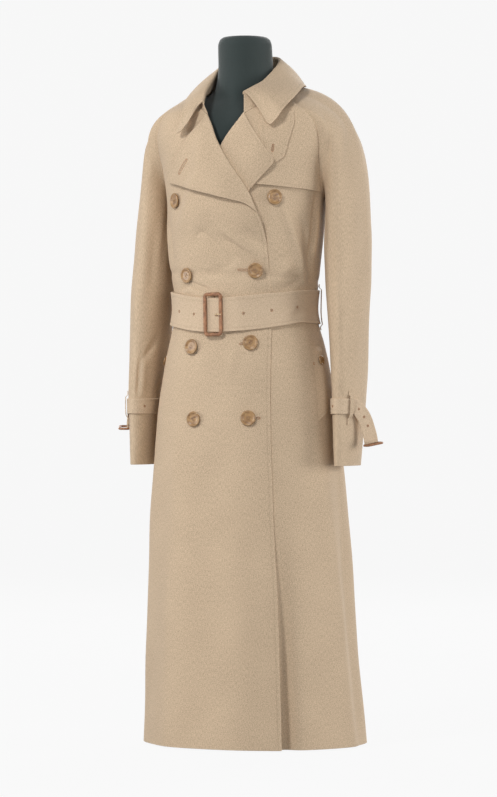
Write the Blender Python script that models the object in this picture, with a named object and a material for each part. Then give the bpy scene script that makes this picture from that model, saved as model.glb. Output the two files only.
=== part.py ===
"""A belted double-breasted raglan trench coat, worn closed on a limbless dress form.

Metres, +Z up. The wearer faces -Y, and the wearer's left is +X. The origin is the
middle of the underside of the stand base. Every piece of cloth is a closed wall
whose outer face follows one of three surfaces: the body of the coat, a sleeve or
the collar. What lies on a panel is that panel's own surface, moved out.
"""

import math

import bpy
import numpy as np

# Driving dimensions, in metres.
WALL = 0.0016
SEAM_GAP = 0.0003
SEAM_TURN = 0.0040
LAYER_GAP = 0.0004
HEM_HEIGHT = 0.0035
UNDERARM_HEIGHT = 1.005
COLLAR_END_HEIGHT = 1.158
PANEL_TOP_HEIGHT = 1.2055
BACK_TOP_HEIGHT = 1.222
NAPE_RISE = 0.006

BUTTON_RADIUS = 0.014
BUTTON_THICKNESS = 0.0045
POCKET_BUTTON_RADIUS = 0.0085
POCKET_BUTTON_THICKNESS = 0.0034

BELT_HEIGHT = 0.062
BELT_THICKNESS = 0.0024
BELT_CENTRE = 0.808
BELT_FRONT_DIP = 0.0155
BUCKLE_WIDTH = 0.038
BUCKLE_HEIGHT = 0.079
BUCKLE_BAR = 0.0065
BUCKLE_DEPTH = 0.0048
BUCKLE_X = -0.014

STRAP_WIDTH = 0.027
STRAP_THICKNESS = 0.0022
STRAP_HEIGHT = 0.626

BASE_RADIUS = 0.120
BASE_THICKNESS = 0.010
POLE_RADIUS = 0.0125
FORM_BOTTOM = 0.600

# Sections of the coat's body: the widest half, how far it reaches to the front and
# to the back, and how square its front half is (2 is an ellipse).
BODY_COLUMNS = ("height", "half_width", "front", "back", "squareness")
BODY_SECTIONS = (
    (0.0035, 0.2080, 0.152, 0.207, 2.10),
    (0.100, 0.2000, 0.150, 0.190, 2.15),
    (0.190, 0.1940, 0.148, 0.175, 2.20),
    (0.300, 0.1885, 0.145, 0.162, 2.25),
    (0.412, 0.1828, 0.141, 0.147, 2.30),
    (0.518, 0.1750, 0.138, 0.134, 2.35),
    (0.625, 0.1656, 0.137, 0.123, 2.40),
    (0.700, 0.1528, 0.137, 0.120, 2.40),
    (0.740, 0.1435, 0.135, 0.115, 2.40),
    (0.805, 0.1290, 0.133, 0.104, 2.40),
    (0.870, 0.1365, 0.137, 0.108, 2.35),
    (0.930, 0.1430, 0.144, 0.114, 2.20),
    (1.000, 0.1490, 0.148, 0.119, 2.05),
    (1.060, 0.1600, 0.146, 0.121, 2.00),
    (1.100, 0.1720, 0.139, 0.119, 2.00),
    (1.140, 0.1800, 0.127, 0.113, 2.00),
    (1.165, 0.1720, 0.117, 0.103, 2.00),
    (1.180, 0.1580, 0.096, 0.094, 2.00),
    (1.195, 0.1350, 0.068, 0.083, 2.00),
    (1.205, 0.1050, 0.048, 0.076, 2.00),
    (1.215, 0.0800, 0.030, 0.071, 2.00),
    (1.222, 0.0720, 0.022, 0.069, 2.00),
    (1.228, 0.0660, 0.012, 0.066, 2.00),
)

# How far the overlapping front reaches past the middle: its straight edge up to the
# chest, then the line on which the lapel rolls back, up to the end of the collar.
EDGE_COLUMNS = ("height", "reach")
FRONT_EDGE = (
    (0.0035, 0.1120),
    (0.272, 0.1042),
    (0.418, 0.0963),
    (0.600, 0.0898),
    (0.770, 0.0878),
    (0.834, 0.0860),
    (0.874, 0.0842),
    (0.920, 0.0822),
    (0.956, 0.0750),
    (0.980, 0.0655),
    (1.014, 0.0520),
    (1.098, -0.0020),
    (1.158, -0.037),
)

# The neckline and the raglan seams, as turns in degrees from the middle of the front.
TURN_COLUMNS = ("height", "turn")
FRONT_NECKLINE = (
    (1.1580, 18.1),
    (1.1780, 33.7),
    (1.1900, 43.0),
    (1.2030, 53.5),
    (1.2055, 55.5),
)
FRONT_RAGLAN = (
    (1.005, 97.0),
    (1.015, 89.5),
    (1.030, 83.5),
    (1.060, 77.5),
    (1.090, 73.5),
    (1.120, 70.5),
    (1.150, 67.0),
    (1.165, 64.0),
    (1.180, 60.0),
    (1.195, 58.0),
    (1.2055, 59.0),
)
BACK_RAGLAN = (
    (1.005, 97.0),
    (1.015, 102.0),
    (1.030, 106.0),
    (1.060, 111.0),
    (1.100, 116.5),
    (1.140, 122.0),
    (1.170, 127.0),
    (1.190, 130.0),
    (1.205, 130.0),
    (1.222, 126.0),
)

# Heights at which panel and sleeve are notched together, from the underarm up.
FRONT_NOTCHES = (1.005, 1.020, 1.045, 1.075, 1.105, 1.133, 1.158, 1.180, 1.195, 1.2055)
BACK_NOTCHES = (1.005, 1.020, 1.045, 1.075, 1.105, 1.135, 1.162, 1.185, 1.205, 1.222)
SIDE_TURN = 90.0
UNDERARM_TURN = 97.0
NECK_SHARE = 0.07
OVERARM_TURN = 85.0
OVERARM_HEIGHT = 1.2170

# Sections of the arm below the underarm.
ARM_COLUMNS = ("height", "centre_x", "centre_y", "half_width", "half_depth")
ARM_SECTIONS = (
    (0.518, 0.2020, -0.025, 0.0168, 0.053),
    (0.637, 0.2020, -0.017, 0.0250, 0.059),
    (0.730, 0.1990, -0.007, 0.0295, 0.064),
    (0.820, 0.1950, 0.000, 0.0345, 0.070),
    (0.860, 0.1925, 0.006, 0.0365, 0.073),
    (0.920, 0.1885, 0.014, 0.0370, 0.076),
    (0.985, 0.1862, 0.020, 0.0340, 0.077),
)
UNDERARM_TWIST = 0.20
CUFF_HEIGHT = ARM_SECTIONS[0][0]
ARM_TOP_HEIGHT = ARM_SECTIONS[-1][0]

# The collar from its end at the wearer's right (-1) round the nape (0) to its end at
# the wearer's left (1): the fold line, and the outer edge of the leaf.
COLLAR_COLUMNS = ("share", "fold_x", "fold_y", "fold_z", "edge_x", "edge_y", "edge_z")
COLLAR = (
    (-1.00, -0.0490, -0.112, 1.184, -0.0980, -0.121, 1.116),
    (-0.90, -0.0530, -0.093, 1.199, -0.0887, -0.119, 1.152),
    (-0.78, -0.0570, -0.066, 1.217, -0.0950, -0.078, 1.191),
    (-0.60, -0.0590, -0.015, 1.249, -0.1060, 0.004, 1.214),
    (-0.40, -0.0520, 0.022, 1.268, -0.0920, 0.048, 1.217),
    (-0.20, -0.0300, 0.046, 1.275, -0.0500, 0.081, 1.209),
    (0.00, 0.0000, 0.052, 1.276, 0.0000, 0.090, 1.206),
    (0.20, 0.0300, 0.046, 1.275, 0.0500, 0.081, 1.209),
    (0.40, 0.0520, 0.022, 1.268, 0.0920, 0.048, 1.217),
    (0.60, 0.0585, -0.015, 1.250, 0.1090, 0.004, 1.216),
    (0.78, 0.0530, -0.065, 1.222, 0.1170, -0.070, 1.191),
    (0.90, 0.0440, -0.093, 1.210, 0.1084, -0.122, 1.159),
    (1.00, 0.0330, -0.110, 1.200, 0.0890, -0.130, 1.132),
)
STAND_TOP_DROP = 0.0030
LEAF_CROWN = (0.003, 0.008)
LEAF_END_BOW = (0.013, -0.008, 0.0)
LEAF_END_REACH = 0.08
LEAF_BOW_PEAK = 6.75

# The dress form: its torso up into its neck.
FORM_COLUMNS = ("height", "half_width", "front", "back", "squareness")
FORM_SECTIONS = (
    (0.600, 0.1300, 0.100, 0.088, 2.2),
    (0.615, 0.1380, 0.108, 0.096, 2.2),
    (0.700, 0.1380, 0.116, 0.105, 2.2),
    (0.805, 0.1120, 0.112, 0.088, 2.2),
    (0.930, 0.1270, 0.130, 0.100, 2.1),
    (1.000, 0.1370, 0.137, 0.107, 2.0),
    (1.060, 0.1450, 0.133, 0.110, 2.0),
    (1.100, 0.1520, 0.125, 0.111, 2.0),
    (1.137, 0.1540, 0.112, 0.1075, 1.9),
    (1.156, 0.1500, 0.102, 0.1025, 1.75),
    (1.170, 0.1420, 0.092, 0.0962, 1.55),
    (1.183, 0.1260, 0.083, 0.0889, 1.35),
    (1.192, 0.1060, 0.077, 0.079, 1.30),
    (1.201, 0.0800, 0.075, 0.067, 1.45),
    (1.212, 0.0620, 0.074, 0.055, 1.75),
    (1.227, 0.0540, 0.073, 0.043, 2.0),
    (1.250, 0.0505, 0.072, 0.031, 2.0),
    (1.290, 0.0495, 0.0745, 0.0255, 2.0),
    (1.300, 0.0455, 0.0705, 0.0215, 2.0),
    (1.305, 0.0360, 0.061, 0.012, 2.0),
)

# Front buttons: height and turn in degrees of each column, and how far the cloth's
# curve lifts the button's flat back off its top.
BUTTON_COLUMNS = ("height", "turn", "lift")
LEFT_BUTTONS = (
    (1.0050, 42.50, 0.0000),
    (0.8720, 28.75, 0.0000),
    (0.7410, 24.25, 0.0002),
    (0.6045, 22.00, 0.0002),
)
RIGHT_BUTTONS = (
    (1.0020, -44.25, 0.0007),
    (0.8650, -33.75, -0.0006),
    (0.7340, -27.00, 0.0002),
    (0.6025, -23.25, 0.0002),
)

COTTON = ("cotton", (0.56, 0.42, 0.29, 1.0), 0.85, 0.0)
HORN = ("horn", (0.33, 0.19, 0.09, 1.0), 0.35, 0.0)
LEATHER = ("leather", (0.42, 0.19, 0.08, 1.0), 0.50, 0.0)
BRASS = ("brass", (0.60, 0.48, 0.30, 1.0), 0.30, 1.0)
FORM_CLOTH = ("form_cloth", (0.035, 0.05, 0.045, 1.0), 0.80, 0.0)
STEEL = ("dark_steel", (0.05, 0.05, 0.05, 1.0), 0.45, 1.0)


def smooth_curves(rows):
    """One monotone cubic for each column of a table, over its first column."""
    data = np.array(rows, dtype=float)
    knots = data[:, 0]
    values = data[:, 1:]
    widths = np.diff(knots)
    slopes = np.diff(values, axis=0) / widths[:, None]
    tangents = np.zeros_like(values)
    tangents[0] = slopes[0]
    tangents[-1] = slopes[-1]
    before = slopes[:-1]
    after = slopes[1:]
    near = (widths[:-1] + 2 * widths[1:])[:, None]
    far = (2 * widths[:-1] + widths[1:])[:, None]
    same_way = before * after > 0
    safe_before = np.where(same_way, before, 1.0)
    safe_after = np.where(same_way, after, 1.0)
    harmonic = (near + far) / (near / safe_after + far / safe_before)
    tangents[1:-1] = np.where(same_way, harmonic, 0.0)

    def at(place):
        place = np.clip(np.asarray(place, dtype=float), knots[0], knots[-1])
        index = np.clip(np.searchsorted(knots, place, side="right") - 1, 0, len(knots) - 2)
        width = widths[index][..., None]
        share = (place - knots[index])[..., None] / width
        start = values[index] * (1 + 2 * share) * (1 - share) ** 2
        start = start + tangents[index] * width * share * (1 - share) ** 2
        end = values[index + 1] * share**2 * (3 - 2 * share)
        end = end + tangents[index + 1] * width * share**2 * (share - 1)
        return start + end

    return at


body_table = smooth_curves(BODY_SECTIONS)
form_table = smooth_curves(FORM_SECTIONS)
edge_table = smooth_curves(FRONT_EDGE)
neckline_table = smooth_curves(FRONT_NECKLINE)
front_raglan_table = smooth_curves(FRONT_RAGLAN)
back_raglan_table = smooth_curves(BACK_RAGLAN)
arm_table = smooth_curves(ARM_SECTIONS)
collar_table = smooth_curves(COLLAR)


def ease(value, low, high):
    """0 below low, 1 above high, smooth between."""
    share = np.clip((np.asarray(value, dtype=float) - low) / (high - low), 0.0, 1.0)
    return share * share * (3 - 2 * share)


def section_points(table, turn, height):
    """Points at a turn (radians from the middle of the front) of a section table."""
    turn, height = np.broadcast_arrays(np.asarray(turn, float), np.asarray(height, float))
    columns = table(height)
    half_width = columns[..., 0]
    half_depth = (columns[..., 1] + columns[..., 2]) / 2
    centre = (columns[..., 2] - columns[..., 1]) / 2
    across = np.sin(turn)
    forward = np.cos(turn)
    power = np.where(forward > 0, columns[..., 3], 2.0)
    radius = np.abs(across / half_width) ** power + np.abs(forward / half_depth) ** power
    radius = radius ** (-1 / power)
    return np.stack([radius * across, centre - radius * forward, height], axis=-1)


def body_points(turn, height):
    return section_points(body_table, turn, height)


def unit(vectors):
    return vectors / np.linalg.norm(vectors, axis=-1, keepdims=True)


def body_normals(turn, height):
    step_turn = 0.004
    step_height = 0.0015
    along = body_points(turn + step_turn, height) - body_points(turn - step_turn, height)
    up = body_points(turn, height + step_height) - body_points(turn, height - step_height)
    return unit(np.cross(along, up))


def turn_of(across, height):
    """The turn of the front point that lies a distance across from the middle."""
    columns = body_table(height)
    half_depth = (columns[..., 1] + columns[..., 2]) / 2
    ratio = np.clip(np.abs(across) / columns[..., 0], 0.0, 0.9999)
    depth = half_depth * (1 - ratio ** columns[..., 3]) ** (1 / columns[..., 3])
    return np.arctan2(across, depth)


def edge_turn(height):
    """The inner limit of a front, as a turn towards the other side of the middle."""
    height = np.asarray(height, dtype=float)
    on_front = turn_of(edge_table(height)[..., 0], height)
    on_neck = -np.radians(neckline_table(height)[..., 0])
    return np.where(height <= COLLAR_END_HEIGHT, on_front, on_neck)


def raglan_turn(height, table):
    height = np.asarray(height, dtype=float)
    side = SIDE_TURN + (UNDERARM_TURN - SIDE_TURN) * ease(height, BELT_CENTRE, UNDERARM_HEIGHT)
    return np.radians(np.where(height <= UNDERARM_HEIGHT, side, table(height)[..., 0]))


def make_material(name, colour, roughness, metallic):
    material = bpy.data.materials.get(name)
    if material is None:
        material = bpy.data.materials.new(name)
        material.use_nodes = True
        shader = material.node_tree.nodes["Principled BSDF"]
        shader.inputs["Base Color"].default_value = colour
        shader.inputs["Roughness"].default_value = roughness
        shader.inputs["Metallic"].default_value = metallic
        material.diffuse_color = colour
    return material


def add_object(name, points, faces, material):
    volume = 0.0
    for face in faces:
        for second, third in zip(face[1:], face[2:]):
            volume += np.dot(points[face[0]], np.cross(points[second], points[third]))
    if volume < 0:
        faces = [tuple(reversed(face)) for face in faces]
    mesh = bpy.data.meshes.new(name)
    mesh.from_pydata([tuple(point) for point in points], [], faces)
    mesh.materials.append(make_material(*material))
    mesh.validate()
    mesh.shade_smooth()
    mesh.set_sharp_from_angle(angle=math.radians(35))
    piece = bpy.data.objects.new(name, mesh)
    bpy.context.scene.collection.objects.link(piece)
    return piece


def add_wall(name, outer, inner, material=COTTON, falling=True):
    """A closed wall between two grids of points, both cut along the same diagonals."""
    rows, columns = outer.shape[:2]
    points = np.concatenate([outer.reshape(-1, 3), inner.reshape(-1, 3)])
    count = rows * columns
    faces = []
    for row in range(rows - 1):
        for column in range(columns - 1):
            first = row * columns + column
            second, third, fourth = first + 1, first + columns + 1, first + columns
            if falling:
                halves = ((first, second, third), (first, third, fourth))
            else:
                halves = ((first, second, fourth), (second, third, fourth))
            for half in halves:
                faces.append(half)
                faces.append(tuple(count + point for point in reversed(half)))
    rim = [column for column in range(columns)]
    rim += [row * columns + columns - 1 for row in range(1, rows)]
    rim += [(rows - 1) * columns + column for column in range(columns - 2, -1, -1)]
    rim += [row * columns for row in range(rows - 2, 0, -1)]
    for first, second in zip(rim, rim[1:] + rim[:1]):
        faces.append((second, first, count + first, count + second))
    return add_object(name, points, faces, material)


def add_on_body(name, turn, height, low, high, material=COTTON, falling=True):
    """A wall on the coat's body, from an offset low to an offset high."""
    points = body_points(turn, height)
    normals = body_normals(turn, height)
    low = np.broadcast_to(low, turn.shape)[..., None]
    high = np.broadcast_to(high, turn.shape)[..., None]
    return add_wall(name, points + normals * high, points + normals * low, material, falling)


def add_rings(name, rings, material):
    """A closed solid through rings of points, bottom to top, with flat ends."""
    count = len(rings[0])
    faces = [tuple(reversed(range(count)))]
    for level in range(len(rings) - 1):
        for index in range(count):
            following = (index + 1) % count
            low = level * count
            faces.append((low + index, low + following, low + count + following, low + count + index))
    top = (len(rings) - 1) * count
    faces.append(tuple(top + index for index in range(count)))
    return add_object(name, np.concatenate(rings), faces, material)


def turned(name, profile, segments, material, centre, axes):
    """A turned solid: a profile of radius and height about the third of three axes."""
    angles = np.arange(segments) * 2 * math.pi / segments
    rings = []
    for radius, level in profile:
        ring = np.cos(angles)[:, None] * axes[0] + np.sin(angles)[:, None] * axes[1]
        rings.append(centre + radius * ring + level * axes[2])
    return add_rings(name, rings, material)


def surface_axes(turn, height):
    """Axes on the coat's body: along it, up it and out of it."""
    out = body_normals(turn, height)
    along = unit(np.cross(np.array([0.0, 0.0, 1.0]), out))
    return along, np.cross(out, along), out


# Offsets of the layers of cloth over the coat's body, outermost face of each.
CHEST_GAP = 0.0010
FLAP_TOP = CHEST_GAP + WALL
LEFT_LAPEL_TOP = FLAP_TOP + CHEST_GAP + WALL
LAPEL_GAP = 0.0020
CHEST_FRONT_TOP = LEFT_LAPEL_TOP + LAPEL_GAP + WALL
SKIRT_FRONT_TOP = LAYER_GAP + WALL
OVERLAP_FADE = 0.030
CHEST_LAYERS_FROM = 0.925
CHEST_LAYERS_FULL = 0.985
THROAT_LAYERS_FROM = 1.105
THROAT_LAYERS_END = 1.140
LEAST_REACH = 0.030
HEM_FOLD_TOP = 0.330
HEM_FOLD_DEPTH = 0.012
HEM_FOLD_WIDTH = 0.020
HEM_FOLD_INSET = 0.012
HEM_EDGE_LIFT = 0.004
HEM_EDGE_WIDTH = 0.040


def hem_fold(height):
    return 1 - ease(height, HEM_HEIGHT, HEM_FOLD_TOP)


def right_front_top(turn, height):
    """The outer offset of the overlapping front: raised where it crosses the other."""
    across = body_points(turn, height)[..., 0]
    reach = np.maximum(edge_table(height)[..., 0], LEAST_REACH)
    over = ease(across, -reach - OVERLAP_FADE, -reach)
    chest = ease(height, CHEST_LAYERS_FROM, CHEST_LAYERS_FULL)
    throat = 1 - ease(height, THROAT_LAYERS_FROM, THROAT_LAYERS_END)
    layers = SKIRT_FRONT_TOP + (CHEST_FRONT_TOP - SKIRT_FRONT_TOP) * chest
    edge = HEM_EDGE_LIFT * hem_fold(height) * ease(across, reach - HEM_EDGE_WIDTH, reach)
    return layers * over * throat + edge


def left_front_top(turn, height):
    """The outer offset of the front underneath: it folds in behind the edge at the hem."""
    across = body_points(turn, height)[..., 0]
    middle = edge_table(height)[..., 0] + HEM_FOLD_INSET
    dip = np.exp(-(((across - middle) / HEM_FOLD_WIDTH) ** 2))
    return -HEM_FOLD_DEPTH * hem_fold(height) * dip


def cloth_top(turn, height):
    """The outermost cloth of the two fronts and the back, under belt and buttons."""
    turn = np.asarray(turn, dtype=float)
    on_front = (turn < edge_turn(height)) & (turn > -math.pi / 2)
    return np.where(on_front, right_front_top(turn, height), 0.0)


HIP_HEIGHT = 0.625
SKIRT_HEIGHTS = np.linspace(HEM_HEIGHT, HIP_HEIGHT, 9)[:-1]
WAIST_HEIGHTS = np.linspace(HIP_HEIGHT, UNDERARM_HEIGHT, 14)[:-1]
LOWER_HEIGHTS = np.concatenate([SKIRT_HEIGHTS, WAIST_HEIGHTS])
OVERLAP_COLUMNS = 5
FRONT_COLUMNS = 13
BACK_COLUMNS = 9
EVEN_COLUMNS_FROM = 0.94
NAPE_RISE_FROM = 1.16


def add_fronts():
    """The two fronts. Where they overlap, both have their points at the same turns."""
    share = np.linspace(0, 1, FRONT_COLUMNS)[None, :]
    rows = np.concatenate([LOWER_HEIGHTS, FRONT_NOTCHES])[:, None]
    height, share = np.broadcast_arrays(rows, share)
    inner = edge_turn(height)
    outer = raglan_turn(height, front_raglan_table) - SEAM_TURN / 2
    lap = OVERLAP_COLUMNS / (FRONT_COLUMNS - 1)
    overlap = inner * (1 - 2 * share / lap)
    side = -inner + (inner - outer) * (share - lap) / (1 - lap)
    paired = np.where(share <= lap, overlap, side)
    even = inner + (-outer - inner) * share
    above = ease(height, EVEN_COLUMNS_FROM, UNDERARM_HEIGHT)
    turn = paired * (1 - above) + even * above
    top = right_front_top(turn, height)
    add_on_body("front_right", turn, height, top - WALL, top)
    turn = -turn
    top = left_front_top(turn, height)
    add_on_body("front_left", turn, height, top - WALL, top, falling=False)


def add_backs():
    share = np.linspace(0, 1, BACK_COLUMNS)[None, :]
    rows = np.concatenate([LOWER_HEIGHTS, BACK_NOTCHES])[:, None]
    height, share = np.broadcast_arrays(rows, share)
    outer = raglan_turn(height, back_raglan_table) + SEAM_TURN / 2
    middle = math.pi - SEAM_TURN / 2
    turn = middle + (outer - middle) * share
    height = height + NAPE_RISE * (1 - share**2) * ease(height, NAPE_RISE_FROM, BACK_TOP_HEIGHT)
    add_on_body("back_left", turn, height, -WALL, 0.0)
    add_on_body("back_right", -turn, height, -WALL, 0.0, falling=False)


def armhole_shares(notches, raglan):
    """Rows of share and height: how far each notch is along the top of the sleeve."""
    heights = np.array(notches)[::-1]
    seam = body_points(raglan_turn(heights, raglan), heights)
    lengths = np.concatenate([[0.0], np.cumsum(np.linalg.norm(np.diff(seam, axis=0), axis=1))])
    shares = NECK_SHARE + (1 - NECK_SHARE) * lengths / lengths[-1]
    return np.stack([shares, heights], axis=1)


FRONT_ARMHOLE = armhole_shares(FRONT_NOTCHES, front_raglan_table)
BACK_ARMHOLE = armhole_shares(BACK_NOTCHES, back_raglan_table)
front_armhole_table = smooth_curves(FRONT_ARMHOLE)
back_armhole_table = smooth_curves(BACK_ARMHOLE)


def armhole_start(share):
    """Turn and height of the sleeve's top edge; share > 0 is its front half."""
    reach = np.abs(share)
    front = share >= 0
    height_front = front_armhole_table(reach)[..., 0]
    height_back = back_armhole_table(reach)[..., 0]
    height = np.where(front, height_front, height_back)
    turn_front = raglan_turn(height, front_raglan_table)
    turn_back = raglan_turn(height, back_raglan_table)
    turn = np.where(front, turn_front, turn_back)
    along_neck = np.clip(reach / NECK_SHARE, 0, 1)
    height = OVERARM_HEIGHT + (height - OVERARM_HEIGHT) * along_neck
    middle = math.radians(OVERARM_TURN)
    return middle + (turn - middle) * along_neck, height


def arm_ring(share, height):
    """Points round the arm; share 0 is the outside, 0.5 the front, 1 the inside."""
    columns = arm_table(height)
    angle = share * math.pi - UNDERARM_TWIST * share**2 * ease(height, CUFF_HEIGHT, ARM_TOP_HEIGHT)
    x = columns[..., 0] + columns[..., 2] * np.cos(angle)
    y = columns[..., 1] - columns[..., 3] * np.sin(angle)
    return np.stack(np.broadcast_arrays(x, y, height), axis=-1)


CAP_FIRST_ACROSS = 0.86
CAP_FIRST_DOWN = 0.08
CAP_LAST_UP = 0.58


def sleeve_points(share, down):
    """The wearer's left sleeve. down 0 to 1 is its cap, and 1 to 2 its arm."""
    share, down = np.broadcast_arrays(np.asarray(share, float), np.asarray(down, float))
    turn, height = armhole_start(share)
    side = np.where(share >= 0, 1.0, -1.0)
    on_seam = side * np.clip(np.abs(share) / NECK_SHARE, 0, 1) * (1 - share**12)
    low = ease(PANEL_TOP_HEIGHT - height, 0.0, PANEL_TOP_HEIGHT - UNDERARM_HEIGHT)
    start = body_points(turn + on_seam * SEAM_TURN / 2, height)
    start[..., 0] += SEAM_GAP + SEAM_GAP * low
    start[..., 2] -= SEAM_GAP * low
    end = arm_ring(share, np.full(share.shape, ARM_TOP_HEIGHT))
    reach = end - start
    first = start + reach * np.array([CAP_FIRST_ACROSS, CAP_FIRST_ACROSS, CAP_FIRST_DOWN])
    rising = unit(end - arm_ring(share, np.full(share.shape, ARM_TOP_HEIGHT - 0.01)))
    last = end - rising * reach[..., 2:3] * CAP_LAST_UP
    step = np.clip(down, 0, 1)[..., None]
    cap = start * (1 - step) ** 3 + first * 3 * step * (1 - step) ** 2
    cap = cap + last * 3 * step**2 * (1 - step) + end * step**3
    drop = np.clip(down - 1, 0, 1)
    arm = arm_ring(share, ARM_TOP_HEIGHT + (CUFF_HEIGHT - ARM_TOP_HEIGHT) * drop)
    points = np.where((down <= 1)[..., None], cap, arm)
    points[..., 1] -= side * SEAM_GAP / 2
    return points


def half_sleeve_normals(share, down):
    step = 0.006
    side = np.where(share >= 0, 1.0, -1.0)
    near_share = np.where(np.abs(share) > 1 - step, share - step * side, share)
    near_down = np.clip(down, step, 2 - step)
    near_down = np.where(np.abs(near_down - 1) < step, 1 + step, near_down)
    across = sleeve_points(near_share + step, near_down) - sleeve_points(near_share - step, near_down)
    along = sleeve_points(near_share, near_down + step) - sleeve_points(near_share, near_down - step)
    return unit(np.cross(across, along))


def sleeve_normals(share, down):
    """Normals of the sleeve, shared by its halves at their seams and by the body above."""
    normals = half_sleeve_normals(share, down)
    on_underarm = (np.abs(share) > 0.999)[..., None]
    normals = np.where(on_underarm, unit(normals + half_sleeve_normals(-share, down)), normals)
    turn, height = armhole_start(share)
    at_panel = unit(body_normals(turn, height) + normals)
    return np.where((down < 1e-6)[..., None], at_panel, normals)


def mirrored(points):
    return points * np.array([-1.0, 1.0, 1.0])


SLEEVE_DOWN = np.concatenate([np.linspace(0, 1, 8)[:-1], np.linspace(1, 2, 10)])
OVERARM_SHARE = 0.0001


def add_sleeves():
    down = SLEEVE_DOWN[:, None]
    for half, sign, armhole in (("front", 1.0, FRONT_ARMHOLE), ("back", -1.0, BACK_ARMHOLE)):
        shares = np.concatenate([[OVERARM_SHARE], armhole[:, 0]])
        share, level = np.broadcast_arrays(sign * shares[None, :], down)
        outer = sleeve_points(share, level)
        normals = sleeve_normals(share, level)
        inner = outer - normals * WALL
        add_wall("sleeve_left_" + half, outer, inner)
        add_wall("sleeve_right_" + half, mirrored(outer), mirrored(inner))


LAPEL_TOP_HEIGHT = 1.156
LAPEL_LOW_RIGHT = 0.9785
LAPEL_LOW_LEFT = 0.9790
LAPEL_TIP_RIGHT = (0.1145, 1.0380)
LAPEL_TIP_LEFT = (0.0955, 1.0700)
LAPEL_LIFT_RIGHT = (0.0055, 0.0, 0.5)
LAPEL_LIFT_LEFT = (0.0045, 0.4, 0.75)
LAPEL_CURL = 0.18
LAPEL_CURL_REACH = 0.15
LAPEL_CURL_POWER = 6

# The line on which the wearer's left front rolls back, most of it behind the right one.
LEFT_ROLL_COLUMNS = ("height", "across")
LEFT_ROLL = (
    (0.9700, 0.0280),
    (0.9860, 0.0220),
    (1.0250, 0.0060),
    (1.0700, -0.0060),
    (1.0980, 0.0020),
    (1.1570, 0.0370),
)
left_roll_table = smooth_curves(LEFT_ROLL)


def add_lapel(name, side, roll, low_height, tip, curl, inner_offset, lift):
    """A turned-back front: a sheet between its roll line and its tip."""
    along = np.linspace(0, 1, 10)[:, None]
    out = np.array([0.0, 0.05, 0.10, 0.15, 0.3, 0.45, 0.6, 0.75, 0.88, 0.97])[None, :]
    roll_height = LAPEL_TOP_HEIGHT + (low_height - LAPEL_TOP_HEIGHT) * along
    roll_across = roll(roll_height)
    near = 1 - (1 - np.minimum(out / LAPEL_CURL_REACH, 1.0)) ** 2
    rise = out + curl * along**LAPEL_CURL_POWER * (near - out)
    across = roll_across + (tip[0] - roll_across) * out
    height = roll_height + (tip[1] - roll_height) * rise
    turn = turn_of(side * across, height)
    top, start, end = lift
    base = inner_offset(turn, height) + top * ease(out, start, end)
    return add_on_body(name, turn, height, base, base + WALL)


def add_lapels():
    def right_roll(height):
        return -edge_table(height)[..., 0]

    def left_roll(height):
        return left_roll_table(height)[..., 0]

    def on_right(turn, height):
        return right_front_top(turn, height) + LAPEL_GAP

    def on_left(turn, height):
        return np.full(np.broadcast(turn, height).shape, FLAP_TOP + CHEST_GAP)

    right = (right_roll, LAPEL_LOW_RIGHT, LAPEL_TIP_RIGHT, LAPEL_CURL, on_right, LAPEL_LIFT_RIGHT)
    left = (left_roll, LAPEL_LOW_LEFT, LAPEL_TIP_LEFT, 0.0, on_left, LAPEL_LIFT_LEFT)
    add_lapel("lapel_right", -1, *right)
    add_lapel("lapel_left", 1, *left)


FLAP_INSET_TURN = 0.026
FLAP_LOW_HEIGHT = 1.030
FLAP_LOW_DROP = 0.013
FLAP_TOP_HEIGHT = 1.180
FLAP_COLUMNS = ("height", "inner")
FLAP_EDGE = (
    (1.016, 0.050),
    (1.100, 0.052),
    (1.150, 0.060),
    (1.180, 0.074),
)
LATCH_COLUMNS = ("height", "inner", "outer")
LATCH_EDGES = (
    (1.069, 0.0920, 0.0985),
    (1.075, 0.0840, 0.1060),
    (1.084, 0.0785, 0.1115),
    (1.100, 0.0730, 0.1150),
    (1.122, 0.0700, 0.1200),
    (1.142, 0.0695, 0.1235),
    (1.160, 0.0710, 0.1200),
)


def add_chest_pieces():
    """The storm flap and the throat latch on the wearer's left."""
    rows = np.linspace(0, 1, 9)[:, None]
    share = np.linspace(0, 1, 8)[None, :]
    low_height = FLAP_LOW_HEIGHT - FLAP_LOW_DROP * share
    height = low_height + (FLAP_TOP_HEIGHT - low_height) * rows
    start = turn_of(smooth_curves(FLAP_EDGE)(height)[..., 0], height)
    end = raglan_turn(height, front_raglan_table) - FLAP_INSET_TURN
    turn = start + (end - start) * share
    add_on_body("storm_flap", turn, height, CHEST_GAP, FLAP_TOP)

    height = np.array([row[0] for row in LATCH_EDGES])[:, None]
    share = np.linspace(0, 1, 4)[None, :]
    height, share = np.broadcast_arrays(height, share)
    edges = smooth_curves(LATCH_EDGES)(height)
    across = edges[..., 0] + (edges[..., 1] - edges[..., 0]) * share
    turn = turn_of(across, height)
    low = FLAP_TOP + CHEST_GAP
    add_on_body("throat_latch", turn, height, low, low + WALL)


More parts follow.
